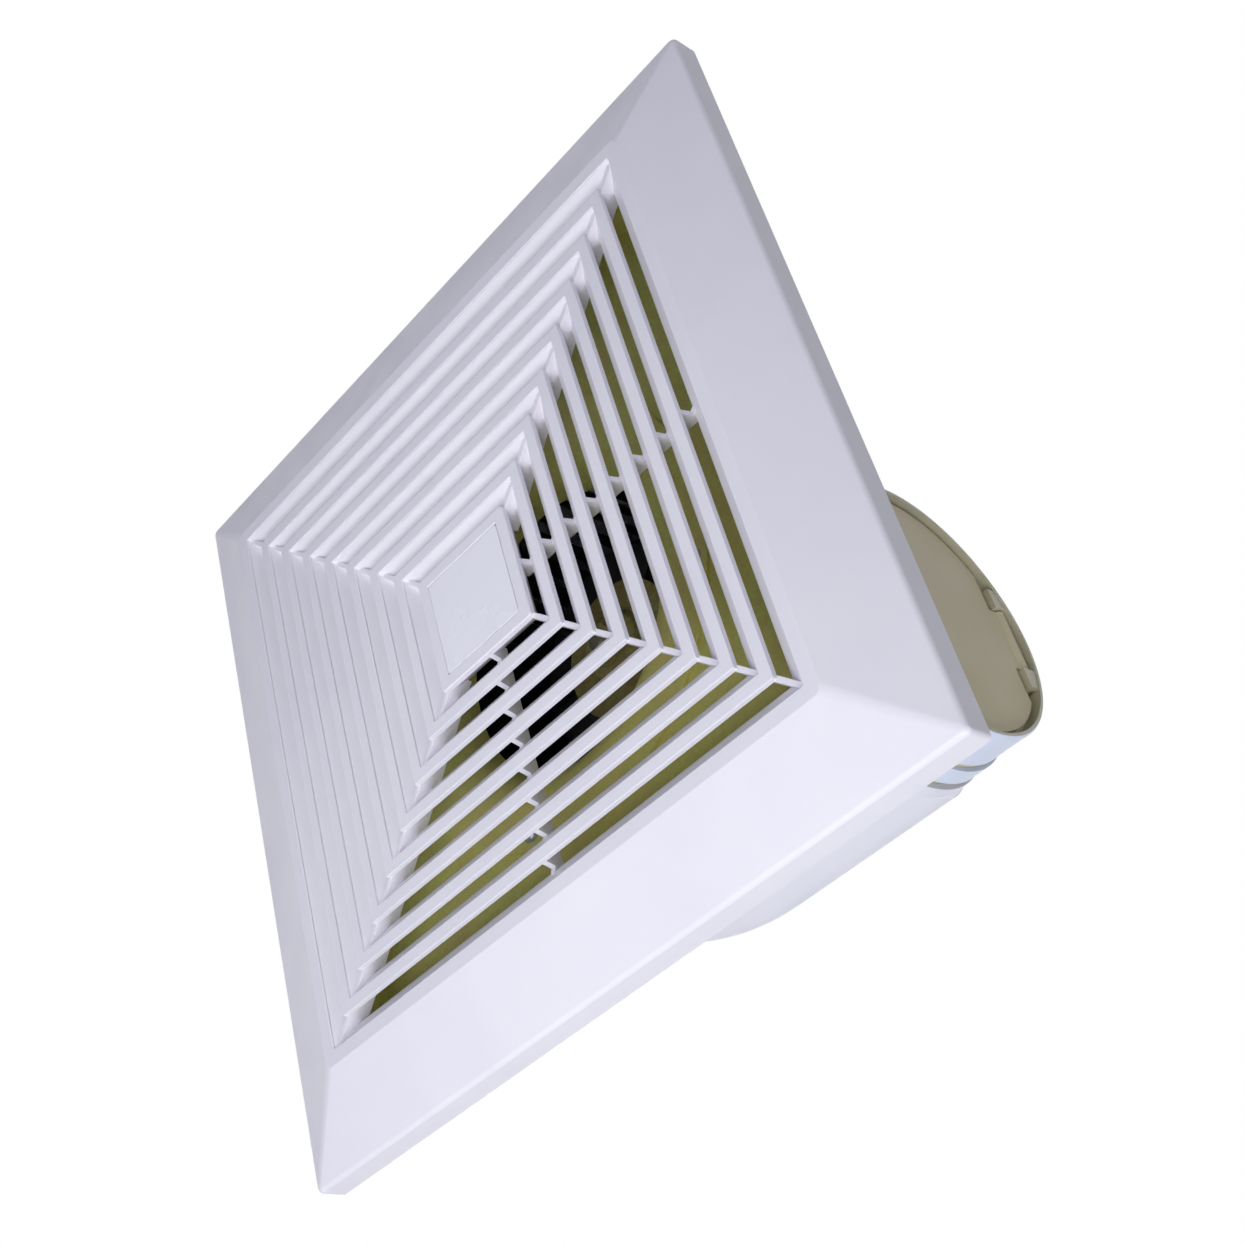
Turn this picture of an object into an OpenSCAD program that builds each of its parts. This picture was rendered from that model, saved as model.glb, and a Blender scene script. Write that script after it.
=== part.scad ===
// Ceiling exhaust fan with a square louvred panel and a round side duct outlet.
// Millimetres. The ceiling lies in the plane z = 0: the panel hangs below it, the scroll stands above it.
// The impeller turns about the z axis and the duct leaves along +x.

/* [Panel] */
// Width of the square panel over its skirt
panel_w = 300; // [296:1:330]
// Height of the panel's vertical skirt
skirt_h = 10.7; // [9:0.1:16]
// How far the rim stands below the skirt
panel_rise = 12; // [8:0.5:16]
// Width of the sloped border
border_w = 31; // [28:1:32]
// Radius of the panel's four upright corners
panel_corner_r = 2; // [1.5:0.1:6]
// Radius of the edge between skirt and border
panel_edge_r = 2.4; // [1:0.2:4]
// Moulded wall of the panel
panel_wall = 2.2; // [1.6:0.1:3]
// Width of the flat rim round the louvres
rim_w = 5.2; // [4:0.2:7]

/* [Louvres] */
// Number of square louvres
louvre_n = 7; // [5:1:7]
// Distance from one louvre to the next
louvre_pitch = 11.63; // [11:0.01:11.8]
// Width of a louvre's front lip
louvre_lip_w = 4.5; // [3.5:0.1:5.5]
// Height of the upright outer face of a lip
louvre_lip_h = 2.2; // [1:0.1:3.5]
// Depth of a louvre from front to back
louvre_depth = 7; // [6.6:0.1:8]
// How far the back of a louvre leans towards the middle
louvre_lean = 6.8; // [6:0.1:8]
// Thickness of a louvre's back edge
louvre_back_t = 2; // [1.4:0.1:2.6]
// Thickness of the ribs behind the louvres
rib_t = 2; // [1.4:0.1:3]
// Depth of the ribs' back edge behind the front
rib_depth = 10; // [8.5:0.5:11]
// Depth of the notch between two louvres in a straight rib's front edge
rib_dip = 6.4; // [5.5:0.1:6.4]
// How far the corner ribs lie behind the front
mitre_rib_back = 1.6; // [1:0.1:4]
// Width of the square boss in the middle of the louvres
boss_w = 48.4; // [44:0.2:50]
// Width of the centre plate
plate_w = 38; // [30:1:40]
// Thickness of the centre plate
plate_t = 1.6; // [1.2:0.1:2.2]
// Gap round the centre plate
plate_gap = 0.45; // [0.3:0.05:0.8]
// Radius of the centre plate's snap peg
plate_peg_r = 2.5; // [2:0.1:4]

/* [Panel springs] */
// Land between a spring's slot and the frame's wall
slot_edge = 2.4; // [2.2:0.1:3]
// Offset of each spring along the wall
spring_y = 30; // [28:1:40]
// Radius of the spring wire
wire_r = 0.9; // [0.7:0.1:1]
// Radius of the peg that the coil hangs on
peg_r = 2.5; // [2:0.1:3]
// Depth of the coil's axis below the ceiling
spring_coil_z = 9; // [8:0.5:9.5]
// Height of a spring leg above its coil
spring_leg_h = 68; // [66:1:76]
// Slope of a spring leg from upright
spring_leg_a = 16; // [12:1:18]
// Length of the hook at the end of a leg
spring_hook = 7; // [6:0.5:9]
// How far the panel can be pulled down
panel_drop = 45; // [30:1:45]

/* [Mounting frame] */
// Width of the frame's box, which goes through the ceiling
box_w = 236; // [234:1:240]
// How far the flange's edge lies inside the panel's edge
flange_in = 12; // [10:0.5:15]
// Radius of the frame's upright corners
frame_corner_r = 5; // [4:0.5:9]
// Thickness of the flange
flange_t = 2; // [1.6:0.1:3]
// Wall of the box
box_wall = 2; // [1.6:0.1:2.4]
// Height of the floor's top above the ceiling
floor_z = 10; // [9:0.5:10.5]
// Thickness of the floor
floor_t = 2; // [1.5:0.1:3]
// Place of the flange's screw holes as a share of its width beyond the box
flange_hole_share = 0.45; // [0.4:0.05:0.6]
// Radius of the flange's screw holes
flange_hole_r = 2.5; // [2:0.1:3]
// Radius of the opening in the floor
floor_hole_r = 72; // [71:0.5:74]

/* [Inlet ring] */
// Radius of the air intake
eye_r = 54.3; // [50:0.1:54.6]
// Height at which the intake's curve ends
throat_z = 21.6; // [20:0.2:22]
// Height of the inlet ring's upper end
inlet_top_z = 25.5; // [24.6:0.1:26]
// Thickness of the inlet ring
inlet_t = 1.8; // [1.4:0.1:2]
// Radius where the intake's curve starts
bell_r = 69; // [67:0.5:70]
// Outer radius of the inlet ring
inlet_r = 84; // [82:0.5:90]
// Radius of the circle of its screws
inlet_screw_r = 78; // [77:0.5:79]
// Number of its screws
inlet_screw_n = 4; // [3:1:4]
// Angle of the first of them
inlet_screw_a = 20; // [18:1:22]

/* [Scroll] */
// Distance from the impeller's axis to the scroll's widest wall
scroll_reach = 107; // [106:0.5:108]
// How much the scroll's radius falls in each quarter turn
scroll_step = 10.8; // [9:0.1:11]
// Height of the scroll's top above the ceiling
scroll_top_z = 112; // [112:0.5:115]
// Radius of the scroll's upper edge
scroll_edge_r = 27; // [20:1:32]
// Moulded wall of the scroll
scroll_wall = 2.2; // [1.8:0.1:2.6]
// Width of the scroll's foot flange
foot_w = 8; // [7:0.5:8.5]
// Thickness of the scroll's foot flange
foot_t = 2.5; // [2:0.1:4]
// Length of the straight outlet from the impeller's axis
outlet_len = 80; // [76:1:81]
// Length of the blend from the outlet to its round socket
outlet_blend = 6; // [4:0.5:7]
// Length of the round socket
socket_len = 5; // [4:0.5:7]
// Radius of the scroll's opening round the motor
motor_hole_r = 43.6; // [43:0.1:46]

/* [Outlet adapter] */
// Outer radius of the duct pipe
duct_r = 50; // [48:0.5:51]
// Wall of the duct pipe
duct_wall = 1.6; // [1.4:0.1:2]
// Height of the duct's axis above the ceiling
duct_z = 62; // [61.8:0.1:63]
// Offset of the duct's axis from the impeller's axis
duct_y = 63; // [61:0.5:63]
// Gap between the scroll's socket and the collar
collar_gap = 2.5; // [2:0.5:6]
// Length of the pipe beyond the groove
duct_pipe_len = 17; // [16:0.5:30]
// Radius of the collar
collar_r = 51; // [50.5:0.1:51.5]
// Length of the collar
collar_len = 7.5; // [6:0.5:9]
// Length of the groove between collar and pipe
groove_len = 2; // [1:0.5:3]
// Depth of the groove
groove_depth = 0.8; // [0.4:0.1:1]
// Length of the sleeve inside the scroll's socket
sleeve_len = 6; // [5:0.5:7]

/* [Backdraft flap] */
// Clearance between the flap's edge and the pipe's bore
flap_edge_gap = 1.9; // [1.6:0.1:4]
// Thickness of the flap
flap_t = 2.4; // [1.6:0.1:2.6]
// Depth of the hinge below the top of the pipe's bore
hinge_drop = 4.9; // [4.9:0.1:7]
// Distance from the pipe's mouth back to the hinge
hinge_back = 3.5; // [3.2:0.1:9]
// Radius of the hinge pin
hinge_pin_r = 1.2; // [1:0.1:1.5]
// Radius of the flap's knuckle
knuckle_r = 2.6; // [2.4:0.1:3]
// Length of the flap's knuckle
knuckle_len = 24; // [16:1:24]
// How far the seat reaches inside the flap's edge
seat_over = 2.2; // [1.8:0.1:4]
// Thickness of the seat
seat_t = 2; // [1.5:0.1:3]
// Thickness of the flap's foam seal
seal_t = 0.8; // [0.5:0.1:1]

/* [Impeller] */
// Number of blades
blade_n = 40; // [24:1:44]
// Outer radius of the impeller
wheel_r = 66; // [64:0.5:66.5]
// Inner radius of the blades
blade_in_r = 56.5; // [55:0.5:57]
// Thickness of a blade in its middle
blade_t = 1.2; // [0.9:0.1:1.6]
// Angle by which a blade's tip leads its root
blade_sweep = 8; // [5:0.5:11]
// Height of the impeller's lower end
wheel_z = 24; // [23.6:0.1:24.6]
// Height of the impeller
wheel_h = 66.5; // [60:0.5:70]
// Thickness of the impeller's rings
wheel_ring_t = 2.5; // [2:0.1:3.5]
// Inner radius of the lower ring
shroud_in_r = 57.6; // [57.4:0.1:58]
// Radius of the dish at its floor
dish_r = 44.5; // [44.2:0.1:46]
// Radius of the dish at its rim
dish_rim_r = 51; // [50:0.5:52]
// Height of the dish's floor
dish_z = 52; // [50:0.5:53]
// Thickness of the dish
dish_t = 2; // [1.6:0.1:2.4]
// Radius of the impeller's hub
hub_r = 12; // [10:0.5:14]
// Height of the impeller's hub
hub_h = 12; // [10:0.5:12.6]
// Radius of the metal bush in the hub
bush_r = 7.5; // [6:0.5:9]
// Number of stiffening ribs in the dish
dish_rib_n = 8; // [4:1:12]

/* [Motor] */
// Radius of the motor's bells
motor_r = 41; // [39:0.5:41.4]
// Height of the motor's lower face
motor_z = 66; // [65:0.5:67]
// Height of the gap between the bells
bell_gap = 8; // [4:1:12]
// Wall of the bells
bell_wall = 1.5; // [1.2:0.1:2]
// Radius of the bells' bearing bosses
bell_boss_r = 14; // [13:0.5:15]
// Height of the lower bearing boss
lower_boss_h = 6; // [5.5:0.5:6.5]
// Height of the upper bearing boss
upper_boss_h = 9; // [7:0.5:12]
// Height of the stator core
core_h = 20; // [16:1:24]
// Radius of the stator's bore
core_bore_r = 22.2; // [20:0.1:24]
// Number of stator slots
slot_n = 12; // [6:1:16]
// Air gap between stator and rotor
air_gap = 0.5; // [0.3:0.1:0.8]
// Radius of the motor shaft
shaft_r = 4; // [3:0.5:5]
// Height of the shaft's lower end
shaft_z = 36; // [34:0.5:37]
// Outer radius of the bearings
bearing_r = 11; // [10:0.5:12]
// Width of the bearings
bearing_w = 7; // [6:0.5:8]
// Radial clearance of the shaft in its bearings
shaft_gap = 0.05; // [0.02:0.01:0.08]
// Radius of the circle of the tie bolts
tie_r = 35.5; // [35:0.1:36]
// Radius of a tie bolt
tie_bolt_r = 1.5; // [1.2:0.1:2]

/* [Motor plate] */
// Radius of the motor plate
motor_plate_r = 60.5; // [60.5:0.5:64]
// Thickness of the motor plate
motor_plate_t = 1.5; // [1.2:0.1:2.5]
// Radius of the circle of the rubber grommets
grommet_circle_r = 52; // [51:0.5:52.5]
// Outer radius of a grommet
grommet_r = 6; // [5.5:0.1:6.5]
// Height of a grommet below the plate
grommet_h = 3.5; // [3:0.5:5]
// Radius of a grommet's neck in the plate
grommet_neck_r = 4.2; // [3.8:0.1:4.6]

/* [Electrics] */
// Width of the terminal box
tbox_w = 36; // [34:1:37]
// Height of the terminal box
tbox_h = 30; // [28:1:45]
// Wall of the terminal box
tbox_wall = 1.6; // [1.2:0.1:2.4]
// Radius of the cable entry
gland_bore_r = 4; // [3:0.5:5]
// Radius of the gland's thread
gland_thread_r = 7; // [6.5:0.5:7]
// Length of the capacitor
cap_l = 38; // [30:1:42]
// Thickness of the capacitor
cap_t = 18; // [14:1:20]
// Height of the capacitor
cap_h = 28; // [22:1:34]

/* [Screws] */
// Radius of the small screws' shanks
screw_r = 1.9; // [1.5:0.1:2]
// Radius of the small screws' heads
screw_head_r = 3.6; // [3:0.1:4]
// Height of the small screws' heads
screw_head_h = 2.2; // [1.5:0.1:3]
// Length of the terminal cover's screws
screw_len = 9; // [8:0.5:12]

/* [Hidden] */
$fn = 96;
e = 0.01;
over = 1;
screw_slot = 1.2;
chamfer = 0.8;
fit_gap = 0.3;
screw_end = 1;
quarter = 90;
mitre = 45;

// Panel
panel_half = panel_w / 2;
front_z = -(skirt_h + panel_rise);
rim_half = panel_half - border_w;
grille_half = rim_half - rim_w;
border_slope = panel_rise / border_w;
slope_wall = panel_wall * sqrt(1 + border_slope * border_slope);
mitre_reach = grille_half + panel_wall / 2;
boss_half = boss_w / 2;
plate_half = plate_w / 2;
boss_depth = 9;
boss_lean = 5;
snap_gap = 0.05;
snap_r = 0.6;
snap_h = 2;
lip_chamfer = 0.8;
rib_inset = 0.3;
rib_step = 0.5;

// Frame
box_half = box_w / 2;
box_in = box_half - box_wall;
flange_w = panel_w - 2 * flange_in;
flange_hole_pitch = box_w + flange_hole_share * (flange_w - box_w);
bell_steps = 12;

// Springs
coil_r = peg_r + wire_r + 0.2;
coil_pitch = 2 * wire_r + 0.2;
coil_turn = 500;
spring_post_w = 16;
spring_room = 0.5;
peg_over = 3.7;
post_t = 4.6;
post_land = 1.5;
spring_steps = 40;
spring_sides = 8;
slot_gap = 1;
coil_len = coil_pitch * coil_turn / 360;
slot_half_w = coil_len / 2 + wire_r + fit_gap;
spring_x = min(box_in - slot_half_w - slot_edge, grille_half - coil_len / 2 - wire_r - spring_room);
peg_len = grille_half - spring_x + peg_over;
slot_half = (floor_z + spring_coil_z + panel_drop) * tan(spring_leg_a) + coil_r / cos(spring_leg_a)
    + wire_r + slot_gap;

// Scroll
cut = scroll_step / 2;
arc_r = scroll_reach - cut;
scroll_centres = [[cut, cut], [-cut, cut], [-cut, -cut], [cut, -cut]];
tongue_a = 12;
sleeve_r = duct_r - groove_depth;
socket_r = sleeve_r + scroll_wall + 0.2;
outlet_in_y = duct_y - duct_r + 1;
outlet_end_x = outlet_len + outlet_blend + socket_len;
foot_screw_a = [25, 70];
tongue_over = 20;
pillar_r = 5;
pillar_h = 14;
pillar_end_t = 1.6;
edge_steps = 32;

// Outlet and flap
collar_x = outlet_end_x + collar_gap;
pipe_x = collar_x + collar_len + groove_len;
duct_mouth_x = pipe_x + duct_pipe_len;
bore_r = duct_r - duct_wall;
hinge_x = duct_mouth_x - hinge_back;
hinge_h = bore_r - hinge_drop;
hinge_z = duct_z + hinge_h;
flap_r = bore_r - flap_edge_gap;
seat_r = flap_r - seat_over;
flap_x = hinge_x - flap_t / 2 + 0.1;
seat_gap = 0.3;
seat_x = flap_x - seal_t - seat_gap - seat_t;
knuckle_gap = 0.07;
knuckle_room = 0.8;
adapter_screw_sink = 0.4;
adapter_head_r = 2.6;
adapter_head_h = 1.6;
ear_gap = 0.6;
ear_w = 8;
ear_h = 7;
ear_len = 3;
ear_y = knuckle_len / 2 + knuckle_room;
flap_relief_h = 5.6;
seat_land = 2;
seal_w = 3;
pin_over = 3;

// Impeller and motor
wheel_top_z = wheel_z + wheel_h;
blade_steps = 6;
blade_edge = 0.45;
dish_bend = 3;
dish_rib_t = 1.6;
dish_rib_h = 2.5;
motor_top_z = scroll_top_z + grommet_h;
shaft_cap_h = 2.5;
shaft_top_z = motor_top_z + upper_boss_h - shaft_cap_h;
bell_mid_z = (motor_z + motor_top_z) / 2;
core_r = motor_r - bell_wall;
core_z = bell_mid_z - core_h / 2;
rotor_r = core_bore_r - air_gap;
bearing_bore_r = shaft_r + shaft_gap;
nut_h = 5;
nut_r = 7;
washer_t = 1.2;
bush_z = dish_z + dish_t + 2 - hub_h;
bush_h = hub_h + 1;
tie_n = 4;
grommet_n = 3;
grommet_cap_h = 2;
plate_head_r = 4.2;
plate_boss_gap = 0.3;
motor_plate_rim_h = 3;
coil_end_h = 6;
end_ring_w = 6;
race_t = 1.7;
shield_sink = 0.4;
bell_bend = 3;
boss_wall = 1.2;
vent_n = 12;
vent_r = 24;
vent_l = 8;
vent_w = 3.2;
tie_nut_r = 3.1;
tie_nut_h = 2.3;
tie_head_r = 3;
tie_head_h = 2;
plate_vent_n = 8;
plate_vent_r = 18;
plate_vent_w = 4;
end_ring_h = 2;
slot_in_half = 1.5;
slot_out_half = 4.6;
coil_gap = 0.2;
coil_end_r = 4.4;
slot_in_r = core_bore_r + 1.5;
slot_out_r = 32;

// Electrics
tbox_c = box_in - tbox_w / 2;
gland_z = floor_z + tbox_h / 2;
tbox_screw_y = 9;
tbox_screw_head_h = 2;
post_r = 3.3;
post_sink = 0.5;
post_off = tbox_w / 2 - tbox_wall - post_r + post_sink;
cover_screw_r = 1.5;
cover_t = 2;
lead_hole_r = 3;
gland_in = 7;
gland_hex_r = 9.1;
gland_flange_t = 5;
gland_cap_h = 6;
gland_nut_t = 3.6;
block_size = [21, 12, 6];
block_x = -12.4;
block_y = 2.2;
pole_n = 3;
pole_pitch = 7.1;
pole_size = [6.2, 9, 5];
pole_screw_y = [2.2, 6.8];
pole_screw_r = 1.6;
earth_off = 6;
tag_r = 2.4;
tag_l = 2;
cap_x = 86;
cap_y = -72;
cap_clip_t = 1.2;
cap_clip_w = 12;
clip_foot = 9;

function reverse(p) = [for (i = [len(p) - 1:-1:0]) p[i]];
function mirrored(p) = [for (q = p) [-q[0], q[1]]];
function polar(r, a) = [r * cos(a), r * sin(a)];
function on_arc(q, r, a) = scroll_centres[q] + polar(r, a);
function unit(v) = v / norm(v);

// A square, tapering solid whose half width follows the profile [half width, z]
module square_loft(profile) {
    outline = concat(profile, reverse(mirrored(profile)));
    intersection() {
        rotate([90, 0, 0])
            linear_extrude(height = 2 * panel_w, center = true)
                polygon(outline);
        rotate([90, 0, 90])
            linear_extrude(height = 2 * panel_w, center = true)
                polygon(outline);
    }
}

// A square of width w with round corners
module soft_square(w, r) {
    square([w, w - 2 * r], center = true);
    square([w - 2 * r, w], center = true);
    for (x = [-1, 1], y = [-1, 1])
        translate([x * (w / 2 - r), y * (w / 2 - r)])
            circle(r);
}

// A tube swept along a path of points, closed at both ends
module swept_tube(path, r, sides) {
    n = len(path);
    dirs = [for (i = [0:n - 1]) unit(path[min(i + 1, n - 1)] - path[max(i - 1, 0)])];
    side_dir = [1, 0, 0];
    points = [for (i = [0:n - 1]) let (v = unit(cross(dirs[i], side_dir)), u = cross(v, dirs[i]))
        for (k = [0:sides - 1]) path[i] + r * (cos(360 * k / sides) * u + sin(360 * k / sides) * v)];
    walls = [for (i = [0:n - 2], k = [0:sides - 1]) let (m = (k + 1) % sides)
        [i * sides + k, i * sides + m, (i + 1) * sides + m, (i + 1) * sides + k]];
    ends = [[for (k = [sides - 1:-1:0]) k], [for (k = [0:sides - 1]) (n - 1) * sides + k]];
    polyhedron(points, concat(walls, ends));
}

// A pan-head screw: the head sits on z = 0 and the shank goes down
module screw(r, head_r, head_h, length) {
    translate([0, 0, -length])
        cylinder(r = r, h = length + e, $fn = 24);
    difference() {
        cylinder(r = head_r, h = head_h, $fn = 32);
        for (a = [0, 90])
            rotate(a)
                translate([0, 0, head_h])
                    cube([screw_slot * head_r, head_r / 4, head_h], center = true);
    }
}

// Grille panel
function panel_shape() = let (n = 4, r = panel_edge_r, lean = atan(border_slope))
    concat([[panel_half, over]],
        [for (i = [0:n]) let (a = i * (90 - lean) / n)
            [panel_half - r + r * cos(a), -skirt_h + r * tan((90 - lean) / 2) - r * sin(a)]],
        [[rim_half, front_z]]);

module panel_shell() {
    intersection() {
        difference() {
            square_loft(panel_shape());
            square_loft([[panel_half - panel_wall, 2 * over],
                [panel_half - panel_wall, -skirt_h - panel_wall * border_slope + slope_wall],
                [rim_half, front_z + slope_wall]]);
            cube([2 * grille_half, 2 * grille_half, -4 * front_z], center = true);
        }
        translate([0, 0, front_z - over])
            linear_extrude(height = -front_z + over)
                soft_square(panel_w, panel_corner_r);
    }
}

// One louvre: its front lip is upright, and its blade leans in behind it
module louvre(half, lip_front = 0) {
    back = half - louvre_lip_w - louvre_lean;
    slope = louvre_lean / (louvre_depth - lip_chamfer);
    translate([0, 0, front_z])
        difference() {
            square_loft([[half, lip_front], [half, louvre_lip_h], [back + louvre_back_t, louvre_depth]]);
            square_loft([[half - louvre_lip_w, -over], [half - louvre_lip_w, lip_chamfer],
                [back - slope * over, louvre_depth + over]]);
        }
}

// Half width of the louvre numbered i: the boss counts as number 0 and the blade behind the rim comes last
function louvre_half(i) = i > louvre_n ? grille_half + louvre_lip_w : boss_half + i * louvre_pitch;

// Front edge of a straight rib: a notch from each lip's outer edge down to the next louvre's blade
function rib_front() = [for (i = [0:louvre_n]) let (inner = louvre_half(i), outer = louvre_half(i + 1))
    each [[inner - rib_inset, louvre_lip_h], [inner + rib_step, rib_dip],
        [outer - louvre_lip_w - (louvre_lean - louvre_back_t) / 2, (lip_chamfer + louvre_depth) / 2]]];

module louvre_ribs() {
    front = rib_front();
    reach = front[len(front) - 1][0];
    for (a = [0:quarter:3 * quarter])
        rotate(a)
            translate([0, rib_t / 2, front_z])
                rotate([90, 0, 0])
                    linear_extrude(height = rib_t)
                        polygon(concat(front, [[reach, rib_depth], [boss_half - boss_lean, rib_depth],
                            [boss_half - boss_lean, louvre_lip_h]]));
    for (a = [mitre, quarter + mitre])
        rotate(a)
            translate([-mitre_reach * sqrt(2) + rib_t, -rib_t / 2, front_z + mitre_rib_back])
                cube([2 * mitre_reach * sqrt(2) - 2 * rib_t, rib_t, rib_depth - mitre_rib_back]);
}

module centre_boss() {
    recess = plate_half + plate_gap;
    translate([0, 0, front_z])
        difference() {
            square_loft([[boss_half, 0], [boss_half, louvre_lip_h], [boss_half - boss_lean, boss_depth]]);
            translate([-recess, -recess, -over])
                cube([2 * recess, 2 * recess, plate_t + over]);
            cylinder(r = plate_peg_r + snap_gap, h = 3 * boss_depth, center = true);
            translate([0, 0, plate_t + panel_wall + boss_depth / 2])
                cube([plate_w - 2 * boss_lean, plate_w - 2 * boss_lean, boss_depth], center = true);
        }
}

// Post and peg that carry one panel spring, on the +x side
module spring_post() {
    post_h = -front_z - spring_coil_z + peg_r + post_land;
    translate([grille_half, spring_y - spring_post_w / 2, front_z + panel_wall - e])
        cube([post_t, spring_post_w, post_h - panel_wall]);
    translate([grille_half - peg_len, spring_y, -spring_coil_z])
        rotate([0, 90, 0])
            cylinder(r = peg_r, h = peg_len + panel_wall, $fn = 32);
    translate([grille_half - peg_len, spring_y, -spring_coil_z])
        rotate([0, 90, 0])
            cylinder(r = peg_r + wire_r, h = wire_r, $fn = 32);
}

module grille_panel() {
    color("white") {
        panel_shell();
        for (i = [1:louvre_n])
            louvre(louvre_half(i));
        louvre(louvre_half(louvre_n + 1), lip_chamfer);
        difference() {
            louvre_ribs();
            translate([0, 0, front_z])
                cube([boss_w - 2 * boss_lean, boss_w - 2 * boss_lean, 4 * boss_depth], center = true);
        }
        centre_boss();
        for (a = [0, 180])
            rotate(a)
                mirror([0, 1, 0])
                    spring_post();
    }
}

module centre_plate() {
    color("gainsboro") {
        translate([-plate_half, -plate_half, front_z])
            cube([plate_w, plate_w, plate_t]);
        translate([0, 0, front_z])
            cylinder(r = plate_peg_r, h = plate_t + panel_wall + snap_h, $fn = 32);
        translate([0, 0, front_z + plate_t + panel_wall + fit_gap])
            cylinder(r1 = plate_peg_r + snap_r, r2 = plate_peg_r - snap_r, h = snap_h, $fn = 32);
    }
}

// The spring's path: up one leg's hook, down the leg, round the coil and up the other leg
function spring_leg(side, x) = let (a = spring_leg_a, start = [side * coil_r * cos(a), -coil_r * sin(a)],
    tip = start + spring_leg_h / cos(a) * [side * sin(a), cos(a)])
    [[x, start[0], start[1]], [x, tip[0], tip[1]],
        [x, tip[0] + side * wire_r, tip[1] + wire_r], [x, tip[0] + side * spring_hook, tip[1] + wire_r]];
function spring_path() = let (x0 = -coil_len / 2, steps = spring_steps)
    concat(reverse(spring_leg(-1, x0)),
        [for (i = [1:steps - 1]) let (t = i / steps, a = 180 + spring_leg_a + coil_turn * t)
            [x0 + coil_len * t, coil_r * cos(a), coil_r * sin(a)]],
        spring_leg(1, -x0));

module panel_spring() {
    color("silver")
        translate([spring_x, -spring_y, -spring_coil_z])
            swept_tube(spring_path(), wire_r, spring_sides);
}

module panel_spring_right() {
    panel_spring();
}

module panel_spring_left() {
    rotate(180)
        panel_spring();
}

// Mounting frame: a flange against the ceiling and a box through it with a floor
module mounting_frame() {
    color("ghostwhite")
        difference() {
            union() {
                translate([0, 0, -flange_t])
                    linear_extrude(height = flange_t)
                        soft_square(flange_w, frame_corner_r);
                translate([0, 0, -flange_t])
                    linear_extrude(height = floor_z + flange_t)
                        soft_square(box_w, frame_corner_r);
            }
            translate([0, 0, -flange_t - over])
                linear_extrude(height = floor_z + flange_t - floor_t + over)
                    soft_square(box_w - 2 * box_wall, frame_corner_r - box_wall);
            cylinder(r = floor_hole_r, h = 4 * floor_z, center = true);
            for (x = [-1, 1], y = [-1, 1])
                translate([x * flange_hole_pitch / 2, y * flange_hole_pitch / 2, -flange_t - over])
                    cylinder(r = flange_hole_r, h = flange_t + 2 * over, $fn = 32);
            for (a = [0, 180])
                rotate(a)
                    translate([spring_x - slot_half_w, -spring_y - slot_half, 0])
                        cube([2 * slot_half_w, 2 * slot_half, 2 * floor_z]);
            for (p = concat(foot_screw_points(), inlet_screw_points(), electric_screw_points()))
                translate([p[0], p[1], floor_z - floor_t - over])
                    cylinder(r = screw_r, h = floor_t + 2 * over, $fn = 24);
        }
}

// Places of the screws in the scroll's foot, two beside each of its three wide arcs and one at its outlet
function foot_point(q, a) = on_arc(q, arc_r - q * scroll_step + foot_w / 2, quarter * (q + 1) + a);
function foot_screw_points() = concat([for (q = [0:2], a = foot_screw_a) foot_point(q, a)],
    [[outlet_len / 2, scroll_reach + foot_w / 2]]);
function inlet_screw_points() = [for (k = [0:inlet_screw_n - 1])
    polar(inlet_screw_r, inlet_screw_a + 360 * k / inlet_screw_n)];
function electric_screw_points() = [tbox_screw_point(), clip_point(), earth_point()];
function tbox_screw_point() = [-tbox_c, -tbox_c - tbox_screw_y];
function clip_point() = [cap_x, cap_y - cap_t / 2 - cap_clip_t - clip_foot / 2];
function earth_point() = [-tbox_c, -tbox_c + tbox_w / 2 + earth_off];

// Inlet ring: an elliptic bellmouth with a flat outer ring screwed under the floor
function bell_curve(out) = let (n = bell_steps, a = bell_r - eye_r, b = throat_z - floor_z + floor_t)
    [for (i = [0:n]) let (t = quarter * i / n, s = out ? inlet_t : 0)
        [bell_r - (a - s) * sin(t), floor_z - floor_t + b - (b + inlet_t - s) * cos(t)]];

module inlet_ring() {
    color("ghostwhite")
        difference() {
            rotate_extrude()
                polygon(concat([[inlet_r, floor_z - floor_t], [inlet_r, floor_z - floor_t - inlet_t]],
                    bell_curve(false), [[eye_r, inlet_top_z], [eye_r + inlet_t, inlet_top_z]],
                    reverse(bell_curve(true))));
            for (k = [0:inlet_screw_n - 1])
                rotate(inlet_screw_a + 360 * k / inlet_screw_n)
                    translate([inlet_screw_r, 0, 0])
                        cylinder(r = screw_r, h = 2 * floor_z, $fn = 24);
        }
}

module inlet_ring_screws() {
    color("silver")
        for (k = [0:inlet_screw_n - 1])
            rotate(inlet_screw_a + 360 * k / inlet_screw_n)
                translate([inlet_screw_r, 0, floor_z - floor_t - inlet_t])
                    mirror([0, 0, 1])
                        screw(screw_r, screw_head_r, screw_head_h, inlet_t + floor_t + 1);
}

// Section of the scroll, from the axis out: its wall, its round edge and its flat top
module scroll_section(reach, wall, inner_r) {
    r = scroll_edge_r - wall;
    top = scroll_top_z - wall;
    translate([inner_r, floor_z])
        square([reach - wall - inner_r, top - r - floor_z]);
    translate([inner_r, floor_z])
        square([reach - wall - r - inner_r, top - floor_z]);
    translate([reach - wall - r, top - r])
        intersection() {
            circle(r);
            square(r);
        }
}

module scroll_foot(reach, inner_r) {
    translate([inner_r, floor_z])
        square([reach + foot_w - inner_r, foot_t]);
}

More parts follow.
